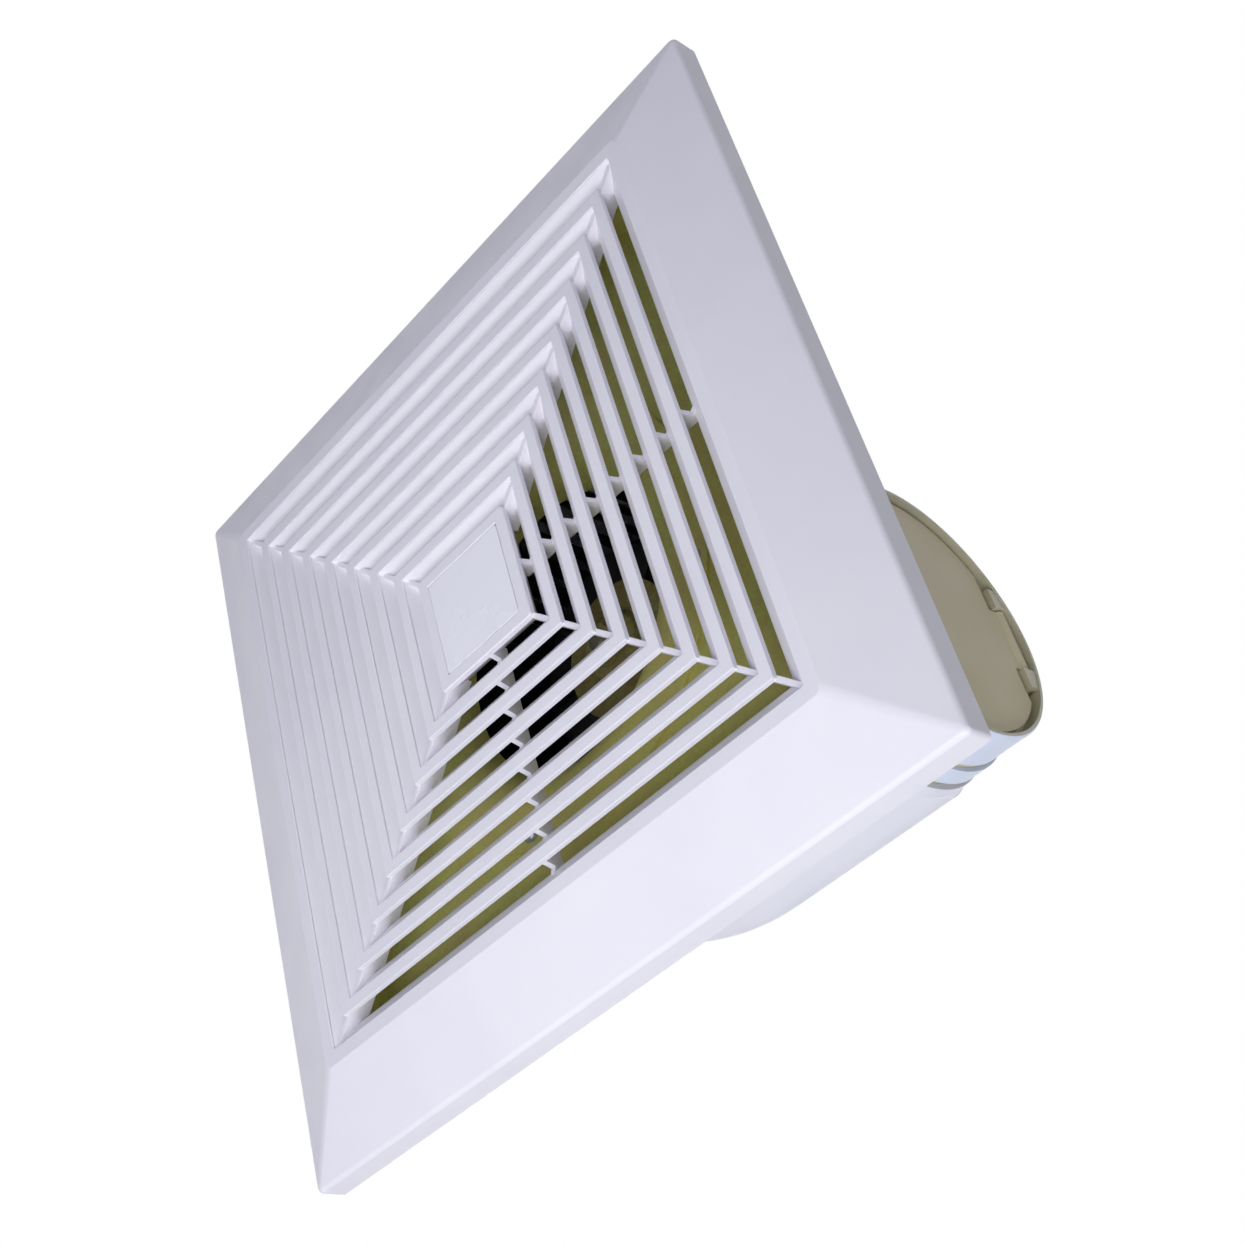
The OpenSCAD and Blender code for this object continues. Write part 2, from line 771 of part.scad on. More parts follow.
// Four arcs about the corners of a small square make the scroll
module scroll_arcs(wall, foot) {
    for (q = [0:3]) {
        sweep = q == 3 ? tongue_a + tongue_over : quarter;
        translate(concat(scroll_centres[q], [0]))
            rotate(quarter * (q + 1))
                rotate_extrude(angle = sweep)
                    if (foot)
                        scroll_foot(arc_r - q * scroll_step, 2 * scroll_step);
                    else
                        scroll_section(arc_r - q * scroll_step, wall, 2 * cut);
    }
}

// Section of the straight outlet, seen along x
module outlet_section(wall) {
    r = scroll_edge_r - wall;
    low = outlet_in_y + wall;
    high = scroll_reach - wall;
    top = scroll_top_z - wall;
    translate([low, floor_z])
        square([high - low, top - r - floor_z]);
    translate([low + r, floor_z])
        square([high - low - 2 * r, top - floor_z]);
    for (y = [low + r, high - r])
        translate([y, top - r])
            circle(r);
}

// Places a section drawn in the yz plane at x and thickens it along x
module along_x(x, length) {
    translate([x, 0, 0])
        rotate([90, 0, 90])
            linear_extrude(height = length)
                children();
}

module outlet_body(wall) {
    along_x(cut, outlet_len - cut)
        outlet_section(wall);
    hull() {
        along_x(outlet_len - e, e)
            outlet_section(wall, $fn = edge_steps);
        along_x(outlet_len + outlet_blend, e)
            translate([duct_y, duct_z])
                circle(socket_r - wall, $fn = 2 * edge_steps);
    }
    along_x(outlet_len + outlet_blend, socket_len)
        translate([duct_y, duct_z])
            circle(socket_r - wall);
}

module scroll_core() {
    translate([0, 0, floor_z])
        cylinder(r = 3 * cut, h = scroll_top_z - floor_z);
}

module scroll_casing() {
    color("ghostwhite") {
        difference() {
            union() {
                scroll_arcs(0, false);
                scroll_core();
                outlet_body(0);
                scroll_arcs(0, true);
                translate([cut, outlet_in_y - foot_w, floor_z])
                    cube([outlet_len - cut, scroll_reach - outlet_in_y + 2 * foot_w, foot_t]);
                scroll_pillars();
            }
            difference() {
                union() {
                    translate([0, 0, -over])
                        scroll_arcs(scroll_wall, false);
                    scroll_arcs(scroll_wall, false);
                    translate([0, 0, -over])
                        cylinder(r = 3 * cut, h = scroll_top_z - scroll_wall + over);
                    outlet_body(scroll_wall);
                    translate([0, 0, -over])
                        along_x(cut, outlet_len - cut)
                            outlet_section(scroll_wall);
                    along_x(outlet_len, 4 * socket_len)
                        translate([duct_y, duct_z])
                            circle(sleeve_r);
                }
                scroll_pillars();
            }
            cylinder(r = motor_hole_r, h = 2 * scroll_top_z);
            for (k = [0:grommet_n - 1])
                rotate(360 * k / grommet_n)
                    translate([grommet_circle_r, 0, scroll_top_z - pillar_h + pillar_end_t])
                        cylinder(r = screw_r, h = pillar_h, $fn = 24);
            for (p = foot_screw_points())
                translate([p[0], p[1], 0])
                    cylinder(r = screw_r, h = 3 * floor_z, $fn = 24);
            adapter_screw_places(0)
                cylinder(r = screw_r, h = 4 * scroll_wall, center = true, $fn = 24);
            adapter_screw_places(-adapter_screw_sink)
                cylinder(r = adapter_head_r + snap_gap, h = scroll_wall);
        }
    }
}

// Screw pillars under the scroll's top, one below each grommet
module scroll_pillars() {
    for (k = [0:grommet_n - 1])
        rotate(360 * k / grommet_n)
            translate([grommet_circle_r, 0, scroll_top_z - pillar_h])
                cylinder(r = pillar_r, h = pillar_h, $fn = 32);
}

module casing_screws() {
    color("silver")
        for (p = foot_screw_points())
            translate([p[0], p[1], floor_z + foot_t])
                screw(screw_r, screw_head_r, screw_head_h, foot_t + floor_t - fit_gap);
}

// Outlet adapter: sleeve, neck, collar, groove and pipe on one axis, with the flap's seat and ears
module duct_axis() {
    translate([0, duct_y, duct_z])
        rotate([0, 90, 0])
            rotate(180)
                children();
}

module outlet_adapter() {
    color("aliceblue")
        difference() {
            union() {
                duct_axis()
                    rotate_extrude()
                        polygon([[sleeve_r, outlet_end_x - sleeve_len], [sleeve_r, collar_x],
                            [collar_r, collar_x], [collar_r, collar_x + collar_len],
                            [sleeve_r, collar_x + collar_len], [sleeve_r, pipe_x], [duct_r, pipe_x],
                            [duct_r, duct_mouth_x - chamfer], [duct_r - chamfer / 2, duct_mouth_x],
                            [bore_r, duct_mouth_x], [bore_r, outlet_end_x - sleeve_len]]);
                flap_seat();
                flap_ears();
            }
            translate([hinge_x, duct_y, hinge_z])
                rotate([90, 0, 0])
                    cylinder(r = hinge_pin_r, h = 2 * (ear_y + ear_w), center = true, $fn = 24);
            adapter_screw_places(0)
                cylinder(r = screw_r, h = 4 * scroll_wall, center = true, $fn = 24);
        }
}

module flap_seat() {
    difference() {
        duct_axis()
            translate([0, 0, seat_x])
                cylinder(r = bore_r + e, h = seat_t);
        intersection() {
            duct_axis()
                translate([0, 0, seat_x - over])
                    cylinder(r = seat_r, h = seat_t + 2 * over);
            translate([seat_x - 2 * over, duct_y - duct_r, duct_z - duct_r])
                cube([4 * seat_t, 2 * duct_r, duct_r + hinge_h - knuckle_r - knuckle_room - seat_land]);
        }
        translate([hinge_x, duct_y, hinge_z])
            rotate([90, 0, 0])
                cylinder(r = knuckle_r + knuckle_room, h = 2 * ear_y, center = true, $fn = 48);
    }
}

module flap_ears() {
    intersection() {
        for (s = [-1, 1])
            translate([seat_x, duct_y + s * (ear_y + ear_w / 2) - ear_w / 2, hinge_z - ear_h / 2])
                cube([hinge_x + ear_len - seat_x, ear_w, ear_h]);
        duct_axis()
            cylinder(r = bore_r + duct_wall / 2, h = 2 * duct_mouth_x);
    }
}

// The two screws through the socket: one on top, one on the side towards the impeller
module adapter_screw_places(lift) {
    for (a = [0, 90])
        translate([outlet_end_x - socket_len / 2, duct_y, duct_z])
            rotate([a, 0, 0])
                translate([0, 0, socket_r + lift])
                    children();
}

module adapter_screws() {
    color("silver")
        adapter_screw_places(-adapter_screw_sink)
            screw(screw_r, adapter_head_r, adapter_head_h, socket_r - bore_r);
}

module hinge_pin() {
    color("silver")
        translate([hinge_x, duct_y, hinge_z])
            rotate([90, 0, 0])
                cylinder(r = hinge_pin_r, h = 2 * (ear_y + pin_over), center = true, $fn = 24);
}

module flap_disc() {
    difference() {
        duct_axis()
            translate([0, 0, flap_x])
                cylinder(r = flap_r, h = flap_t);
        translate([flap_x - over, duct_y - duct_r, hinge_z])
            cube([flap_t + 2 * over, 2 * duct_r, duct_r]);
        for (s = [-1, 1])
            translate([flap_x + flap_t / 2, duct_y + s * (ear_y - ear_gap + duct_r / 2), hinge_z])
                cube([flap_t + 2 * over, duct_r, 2 * flap_relief_h], center = true);
    }
}

module backdraft_flap() {
    color("lightgray")
        difference() {
            union() {
                flap_disc();
                translate([hinge_x, duct_y, hinge_z])
                    rotate([90, 0, 0])
                        cylinder(r = knuckle_r, h = knuckle_len, center = true, $fn = 32);
            }
            translate([hinge_x, duct_y, hinge_z])
                rotate([90, 0, 0])
                    cylinder(r = hinge_pin_r + knuckle_gap, h = 2 * duct_r, center = true, $fn = 32);
        }
}

module flap_seal() {
    color("dimgray")
        difference() {
            duct_axis()
                translate([0, 0, flap_x - seal_t])
                    cylinder(r = flap_r, h = seal_t);
            duct_axis()
                translate([0, 0, flap_x - seal_t - over])
                    cylinder(r = flap_r - seal_w, h = seal_t + 2 * over);
            translate([flap_x - seal_t - over, duct_y - duct_r, hinge_z - flap_relief_h])
                cube([seal_t + 2 * over, 2 * duct_r, duct_r]);
        }
}

// Impeller: forward-curved blades between two rings, and a dish that goes round the motor
function blade_mid(s) = polar(blade_in_r + (wheel_r - chamfer - blade_in_r) * s, -blade_sweep * s * abs(s));
function blade_dir(s) = unit(blade_mid(s + e) - blade_mid(s - e));
function blade_half(s) = blade_t / 2 * (blade_edge + (1 - blade_edge) * sin(180 * s));
function blade_side(side) = [for (i = [0:blade_steps]) let (s = i / blade_steps, d = blade_dir(s))
    blade_mid(s) + side * blade_half(s) * [-d[1], d[0]]];

module blades() {
    translate([0, 0, wheel_z + wheel_ring_t / 2])
        linear_extrude(height = wheel_h - wheel_ring_t)
            for (k = [0:blade_n - 1])
                rotate(360 * k / blade_n)
                    polygon(concat(blade_side(1), reverse(blade_side(-1))));
}

module wheel_body() {
    hub_top = dish_z + dish_t + 2;
    rotate_extrude()
        polygon([[bush_r, hub_top - hub_h], [hub_r, hub_top - hub_h], [hub_r, dish_z],
            [dish_r - dish_bend, dish_z], [dish_r, dish_z + dish_bend],
            [dish_rim_r, wheel_top_z - wheel_ring_t - dish_t],
            [dish_rim_r + dish_t, wheel_top_z - wheel_ring_t], [wheel_r, wheel_top_z - wheel_ring_t],
            [wheel_r, wheel_top_z], [dish_rim_r, wheel_top_z],
            [dish_rim_r - dish_t, wheel_top_z - wheel_ring_t], [dish_r - dish_t, dish_z + dish_bend + 1],
            [dish_r - dish_bend - 1, dish_z + dish_t], [hub_r, dish_z + dish_t], [hub_r, hub_top],
            [bush_r, hub_top]]);
    translate([0, 0, wheel_z])
        rotate_extrude()
            polygon([[shroud_in_r, 0], [wheel_r, 0], [wheel_r, wheel_ring_t], [shroud_in_r, wheel_ring_t]]);
}

module dish_ribs() {
    for (k = [0:dish_rib_n - 1])
        rotate(360 * k / dish_rib_n)
            translate([hub_r - 1, -dish_rib_t / 2, dish_z - dish_rib_h])
                cube([dish_r - hub_r - dish_bend - 1, dish_rib_t, dish_rib_h + dish_t / 2]);
}

module impeller() {
    color("dimgray") {
        wheel_body();
        blades();
        dish_ribs();
    }
}

module tube(r_out, r_in, h, z) {
    translate([0, 0, z])
        rotate_extrude()
            translate([r_in, 0])
                square([r_out - r_in, h]);
}

module hub_bush() {
    color("goldenrod")
        tube(bush_r, shaft_r, bush_h, bush_z);
}

module impeller_nut() {
    color("silver")
        difference() {
            translate([0, 0, bush_z - washer_t - nut_h])
                cylinder(r = nut_r, h = nut_h, $fn = 6);
            cylinder(r = shaft_r, h = 2 * bush_z, $fn = 48);
        }
}

module impeller_washer() {
    color("silver")
        tube(bush_r + 1, shaft_r, washer_t, bush_z - washer_t);
}

module motor_shaft() {
    color("silver")
        translate([0, 0, shaft_z]) {
            cylinder(r1 = shaft_r - chamfer, r2 = shaft_r, h = chamfer);
            translate([0, 0, chamfer])
                cylinder(r = shaft_r, h = shaft_top_z - shaft_z - chamfer);
        }
}

// Rotor core: laminations with slanting bars' end rings
module rotor_core() {
    color("slategray") {
        tube(rotor_r, shaft_r, core_h, core_z);
        tube(rotor_r - 1, rotor_r - end_ring_w, core_h + 2 * end_ring_h, core_z - end_ring_h);
    }
}

module slot_shape(gap) {
    polygon([[slot_in_r + gap, gap - slot_in_half], [slot_in_r + gap, slot_in_half - gap],
        [slot_out_r - gap, slot_out_half - gap], [slot_out_r - gap, gap - slot_out_half]]);
}

module stator_core() {
    color("gray")
        translate([0, 0, core_z])
            linear_extrude(height = core_h)
                difference() {
                    circle(core_r);
                    circle(core_bore_r);
                    for (k = [0:slot_n - 1])
                        rotate(360 * k / slot_n)
                            slot_shape(0);
                    for (k = [0:tie_n - 1])
                        rotate(360 * (k + 1 / 2) / tie_n)
                            translate([tie_r, 0])
                                circle(tie_bolt_r, $fn = 24);
                }
}

module stator_coils() {
    color("peru") {
        translate([0, 0, core_z - e])
            linear_extrude(height = core_h + 2 * e)
                for (k = [0:slot_n - 1])
                    rotate(360 * k / slot_n)
                        slot_shape(coil_gap);
        for (z = [core_z - coil_end_h, core_z + core_h])
            translate([0, 0, z])
                rotate_extrude()
                    translate([(slot_in_r + slot_out_r) / 2, coil_end_h / 2])
                        intersection() {
                            square([slot_out_r - slot_in_r - 2 * coil_gap, coil_end_h], center = true);
                            circle(coil_end_r, $fn = 32);
                        }
    }
}

// A sealed ball bearing: two races and a sunken shield between them
module bearing(z) {
    inner = shaft_r + race_t;
    outer = bearing_r - race_t;
    color("lightsteelblue")
        translate([0, 0, z])
            rotate_extrude()
                polygon([[bearing_bore_r, 0], [inner, 0], [inner, shield_sink], [outer, shield_sink],
                    [outer, 0], [bearing_r, 0], [bearing_r, bearing_w], [outer, bearing_w],
                    [outer, bearing_w - shield_sink], [inner, bearing_w - shield_sink],
                    [inner, bearing_w], [bearing_bore_r, bearing_w]]);
}

module lower_bearing() {
    bearing(motor_z - lower_boss_h + bell_wall);
}

module upper_bearing() {
    bearing(motor_top_z + upper_boss_h - bell_wall - bearing_w);
}

// A pressed motor bell, open end up; the boss holds its bearing
module bell(depth, boss_h, shaft_hole_r) {
    r = bell_bend;
    seat_z = bell_wall - boss_h;
    boss_in_r = bearing_r + boss_wall;
    difference() {
        rotate_extrude()
            polygon([[shaft_hole_r, -boss_h], [bell_boss_r - 1, -boss_h], [bell_boss_r, 1 - boss_h],
                [bell_boss_r, 0], [motor_r - r, 0], [motor_r - r / 3, r / 3], [motor_r, r], [motor_r, depth],
                [core_r, depth], [core_r, r + bell_wall / 3], [core_r - r / 3, r / 3 + bell_wall],
                [motor_r - r - bell_wall / 3, bell_wall], [boss_in_r, bell_wall],
                [boss_in_r, bearing_w + seat_z], [bearing_r, bearing_w + seat_z], [bearing_r, seat_z],
                [shaft_hole_r, seat_z]]);
        for (k = [0:tie_n - 1])
            rotate(360 * (k + 1 / 2) / tie_n)
                translate([tie_r, 0, -over])
                    cylinder(r = tie_bolt_r, h = depth, $fn = 24);
        for (k = [0:vent_n - 1])
            rotate(360 * (k + 1 / 2) / vent_n)
                translate([vent_r, -vent_w / 2, -over])
                    cube([vent_l, vent_w, bell_wall + 2 * over]);
    }
}

module lower_bell() {
    color("lightgray")
        translate([0, 0, motor_z])
            bell(bell_mid_z - bell_gap / 2 - motor_z, lower_boss_h, shaft_r + 2);
}

module upper_bell() {
    color("lightgray")
        translate([0, 0, motor_top_z])
            mirror([0, 0, 1])
                bell(motor_top_z - bell_mid_z - bell_gap / 2, upper_boss_h, 0);
}

module tie_bolts() {
    head_z = motor_top_z + motor_plate_t;
    color("silver")
        for (k = [0:tie_n - 1])
            rotate(360 * (k + 1 / 2) / tie_n)
                translate([tie_r, 0, 0]) {
                    translate([0, 0, motor_z - tie_nut_h])
                        cylinder(r = tie_bolt_r, h = head_z - motor_z + tie_nut_h + e, $fn = 24);
                    translate([0, 0, head_z])
                        cylinder(r = tie_head_r, h = tie_head_h, $fn = 32);
                    translate([0, 0, motor_z - tie_nut_h])
                        cylinder(r = tie_nut_r, h = tie_nut_h, $fn = 6);
                }
}

module motor_plate() {
    color("lightgray")
        difference() {
            union() {
                translate([0, 0, motor_top_z])
                    cylinder(r = motor_plate_r, h = motor_plate_t);
                tube(motor_plate_r, motor_plate_r - motor_plate_t, motor_plate_rim_h, motor_top_z);
            }
            translate([0, 0, motor_top_z - over])
                cylinder(r = bell_boss_r + plate_boss_gap, h = 4 * motor_plate_t);
            for (k = [0:tie_n - 1])
                rotate(360 * (k + 1 / 2) / tie_n)
                    translate([tie_r, 0, motor_top_z - over])
                        cylinder(r = tie_bolt_r, h = 4 * motor_plate_t, $fn = 24);
            for (k = [0:grommet_n - 1])
                rotate(360 * k / grommet_n)
                    translate([grommet_circle_r, 0, motor_top_z - over])
                        cylinder(r = grommet_neck_r, h = 4 * motor_plate_t, $fn = 32);
            for (k = [0:plate_vent_n - 1])
                rotate(360 * k / plate_vent_n)
                    translate([plate_vent_r, -plate_vent_w / 2, motor_top_z - over])
                        cube([vent_l, plate_vent_w, 4 * motor_plate_t]);
        }
}

module rubber_grommets() {
    neck_z = grommet_h + motor_plate_t;
    color("black")
        for (k = [0:grommet_n - 1])
            rotate(360 * k / grommet_n)
                translate([grommet_circle_r, 0, scroll_top_z])
                    rotate_extrude($fn = 48)
                        polygon([[screw_r, 0], [grommet_r - chamfer, 0], [grommet_r, chamfer],
                            [grommet_r, grommet_h], [grommet_neck_r, grommet_h], [grommet_neck_r, neck_z],
                            [grommet_r, neck_z], [grommet_r, neck_z + grommet_cap_h - chamfer],
                            [grommet_r - chamfer, neck_z + grommet_cap_h],
                            [screw_r, neck_z + grommet_cap_h]]);
}

module plate_screws() {
    color("silver")
        for (k = [0:grommet_n - 1])
            rotate(360 * k / grommet_n)
                translate([grommet_circle_r, 0, scroll_top_z + grommet_h + motor_plate_t + grommet_cap_h])
                    screw(screw_r, plate_head_r, screw_head_h, grommet_h + motor_plate_t + pillar_h);
}

// Terminal box on the floor in one corner, with a block, a lid and a cable gland
module box_place() {
    translate([-tbox_c, -tbox_c, floor_z])
        children();
}

module box_posts(z, r, h) {
    for (s = [-1, 1])
        translate([s * post_off, s * post_off, z])
            cylinder(r = r, h = h, $fn = 24);
}

module terminal_box() {
    color("gainsboro")
        box_place()
            difference() {
                union() {
                    difference() {
                        linear_extrude(height = tbox_h)
                            soft_square(tbox_w, 2 * tbox_wall);
                        translate([0, 0, tbox_wall])
                            linear_extrude(height = tbox_h)
                                soft_square(tbox_w - 2 * tbox_wall, tbox_wall);
                    }
                    box_posts(0, post_r, tbox_h);
                }
                box_posts(tbox_h / 2, cover_screw_r, tbox_h);
                translate([tbox_w / 2 - tbox_wall / 2, 0, gland_z - floor_z])
                    rotate([0, 90, 0])
                        cylinder(r = gland_thread_r, h = 2 * tbox_wall, center = true);
                translate([0, tbox_w / 2, tbox_h / 2])
                    rotate([90, 0, 0])
                        cylinder(r = lead_hole_r, h = 4 * tbox_wall, center = true, $fn = 32);
                translate([0, -tbox_screw_y, 0])
                    cylinder(r = screw_r, h = 4 * tbox_wall, center = true, $fn = 24);
            }
}

module terminal_block() {
    color("whitesmoke")
        box_place()
            translate([block_x, block_y, tbox_wall])
                difference() {
                    union() {
                        cube(block_size);
                        for (k = [0:pole_n - 1])
                            translate([k * pole_pitch, (block_size[1] - pole_size[1]) / 2, block_size[2] - e])
                                cube(pole_size);
                    }
                    pole_places(block_size[2] / 2)
                        cylinder(r = pole_screw_r, h = 2 * pole_size[2] + block_size[2], $fn = 24);
                }
}

module pole_places(z) {
    for (k = [0:pole_n - 1], y = pole_screw_y)
        translate([k * pole_pitch + pole_size[0] / 2, (block_size[1] - pole_size[1]) / 2 + y, z])
            children();
}

module terminal_screws() {
    color("goldenrod")
        box_place()
            translate([block_x, block_y, tbox_wall])
                pole_places(block_size[2] / 2)
                    difference() {
                        cylinder(r = pole_screw_r, h = pole_size[2] + 1, $fn = 24);
                        translate([0, 0, pole_size[2] + 1])
                            cube([3 * pole_screw_r, pole_screw_r / 3, pole_screw_r], center = true);
                    }
}

module box_screw() {
    color("silver")
        box_place()
            translate([0, -tbox_screw_y, tbox_wall])
                screw(screw_r, screw_head_r, tbox_screw_head_h, tbox_wall + floor_t + screw_end);
}

module terminal_cover() {
    color("gainsboro")
        box_place()
            difference() {
                translate([0, 0, tbox_h])
                    linear_extrude(height = cover_t)
                        soft_square(tbox_w, 2 * tbox_wall);
                box_posts(tbox_h - over, cover_screw_r, cover_t + 2 * over);
            }
}

module cover_screws() {
    color("silver")
        box_place()
            for (s = [-1, 1])
                translate([s * post_off, s * post_off, tbox_h + cover_t])
                    screw(cover_screw_r, 2 * cover_screw_r, cover_screw_r, screw_len);
}

module gland_axis() {
    translate([-tbox_c + tbox_w / 2, -tbox_c, gland_z])
        rotate([0, 90, 0])
            children();
}

module cable_gland() {
    cap_r = gland_thread_r + chamfer;
    color("black")
        gland_axis()
            difference() {
                union() {
                    translate([0, 0, -gland_in])
                        cylinder(r = gland_thread_r, h = gland_in + e);
                    cylinder(r = gland_hex_r, h = gland_flange_t, $fn = 6);
                    translate([0, 0, gland_flange_t - e])
                        rotate_extrude()
                            polygon([[gland_bore_r, 0], [cap_r, 0], [cap_r, gland_cap_h / 3],
                                [gland_bore_r + 2, gland_cap_h], [gland_bore_r, gland_cap_h]]);
                }
                translate([0, 0, -gland_in - over])
                    cylinder(r = gland_bore_r, h = gland_in + gland_flange_t + gland_cap_h + 2 * over);
            }
}

module gland_nut() {
    color("black")
        gland_axis()
            translate([0, 0, -tbox_wall - gland_nut_t])
                difference() {
                    cylinder(r = gland_hex_r, h = gland_nut_t, $fn = 6);
                    translate([0, 0, -over])
                        cylinder(r = gland_thread_r, h = gland_nut_t + 2 * over);
                }
}

// Run capacitor on the floor in the corner beside the outlet, under a screwed strap clip
module cap_place() {
    translate([cap_x, cap_y, floor_z])
        children();
}

module capacitor() {
    color("white")
        cap_place() {
            translate([-cap_l / 2, -cap_t / 2, 0])
                cube([cap_l, cap_t, cap_h]);
            for (s = [-1, 1])
                translate([-cap_l / 2 - tag_l, s * cap_t / 4, cap_h / 2])
                    rotate([0, 90, 0])
                        cylinder(r = tag_r, h = tag_l + e, $fn = 24);
        }
}

module capacitor_clip() {
    c = cap_clip_t;
    p = clip_point() - [cap_x, cap_y];
    color("silver")
        cap_place()
            difference() {
                union() {
                    translate([-cap_clip_w / 2, -cap_t / 2 - c, 0])
                        cube([cap_clip_w, cap_t + 2 * c, cap_h + c]);
                    translate([-cap_clip_w / 2, -cap_t / 2 - c - clip_foot, 0])
                        cube([cap_clip_w, clip_foot + c, c]);
                }
                translate([-cap_clip_w, -cap_t / 2, -over])
                    cube([2 * cap_clip_w, cap_t, cap_h + over]);
                translate([p[0], p[1], -over])
                    cylinder(r = screw_r, h = c + 2 * over, $fn = 24);
            }
}

module clip_screw() {
    p = clip_point();
    color("silver")
        translate([p[0], p[1], floor_z + cap_clip_t])
            screw(screw_r, screw_head_r, screw_head_h, cap_clip_t + floor_t + screw_end);
}

module earth_screw() {
    p = earth_point();
    color("goldenrod")
        translate([p[0], p[1], floor_z])
            screw(screw_r, screw_head_r, screw_head_h, floor_t + screw_end);
}

grille_panel();
centre_plate();
panel_spring_left();
panel_spring_right();
mounting_frame();
inlet_ring();
inlet_ring_screws();
scroll_casing();
casing_screws();
outlet_adapter();
adapter_screws();
hinge_pin();
backdraft_flap();
flap_seal();
impeller();
hub_bush();
impeller_nut();
impeller_washer();
motor_shaft();
rotor_core();
stator_core();
stator_coils();
lower_bearing();
upper_bearing();
lower_bell();
upper_bell();
tie_bolts();
motor_plate();
rubber_grommets();
plate_screws();
terminal_box();
terminal_block();
terminal_screws();
box_screw();
terminal_cover();
cover_screws();
cable_gland();
gland_nut();
capacitor();
capacitor_clip();
clip_screw();
earth_screw();
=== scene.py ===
from math import atan2, cos, pi, radians, sin, sqrt, tan

import bmesh
import bpy
from mathutils import Matrix, Vector


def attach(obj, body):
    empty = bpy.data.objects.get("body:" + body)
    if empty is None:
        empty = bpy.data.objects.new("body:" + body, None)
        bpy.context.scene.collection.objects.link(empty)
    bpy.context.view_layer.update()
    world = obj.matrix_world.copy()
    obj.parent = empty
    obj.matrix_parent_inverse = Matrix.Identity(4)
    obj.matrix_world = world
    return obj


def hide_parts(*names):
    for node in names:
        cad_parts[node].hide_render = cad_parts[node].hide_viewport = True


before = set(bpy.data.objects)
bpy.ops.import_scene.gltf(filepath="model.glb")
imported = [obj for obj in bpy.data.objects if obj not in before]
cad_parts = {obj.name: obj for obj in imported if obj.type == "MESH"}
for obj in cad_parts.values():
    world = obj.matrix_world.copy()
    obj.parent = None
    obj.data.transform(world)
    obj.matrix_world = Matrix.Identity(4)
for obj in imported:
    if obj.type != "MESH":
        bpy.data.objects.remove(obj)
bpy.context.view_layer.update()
MM = 0.001


# The mounting frame is a tray pressed from sheet steel, with a flange that is screwed to the
# ceiling and a round opening in its floor. Its zinc has the yellow passivated film that
# gives the warm olive behind the louvres.

CAD_WELD = 0.002 * MM  # joins the loose triangles of a CAD node's copy


def linear(hex_colour):
    """The linear colour that a shader takes, from an sRGB hex colour."""
    channels = [int(hex_colour[i:i + 2], 16) / 255 for i in (1, 3, 5)]
    return tuple(c / 12.92 if c <= 0.04045 else ((c + 0.055) / 1.055) ** 2.4 for c in channels) + (1.0,)


def add(tree, kind, inputs=None, **settings):
    """Adds a node with its settings. An input that is a socket is linked, any other is a value.

    By number, Map Range takes its value, From Min, From Max, To Min and To Max in 0 to 4, and a
    colour Mix takes its factor in 0 and its two colours in 6 and 7.
    """
    node = tree.nodes.new(kind)
    for name, value in settings.items():
        setattr(node, name, value)
    for name, value in (inputs or {}).items():
        if isinstance(value, bpy.types.NodeSocket):
            tree.links.new(value, node.inputs[name])
        else:
            node.inputs[name].default_value = value
    return node


def new_finish(name, **sockets):
    """A material with its shader's plain sockets set: the tree, the shader and Object coordinates."""
    finish = bpy.data.materials.new(name)
    finish.use_nodes = True
    tree = finish.node_tree
    shader = tree.nodes["Principled BSDF"]
    for socket, value in sockets.items():
        shader.inputs[socket.replace("_", " ")].default_value = value
    return finish, tree, shader, add(tree, "ShaderNodeTexCoord").outputs["Object"]


def two_tone(tree, pattern, low, high, dark, light):
    """A colour that goes from dark to light as a pattern goes from low to high."""
    share = add(tree, "ShaderNodeMapRange", {0: pattern, 1: low, 2: high}).outputs[0]
    return add(tree, "ShaderNodeMix", {0: share, 6: linear(dark), 7: linear(light)},
               data_type="RGBA").outputs[2]


def joined(tree, shader, patterns):
    """Links patterns to the shader's inputs that they are named for."""
    for name, pattern in patterns.items():
        tree.links.new(pattern, shader.inputs[name])


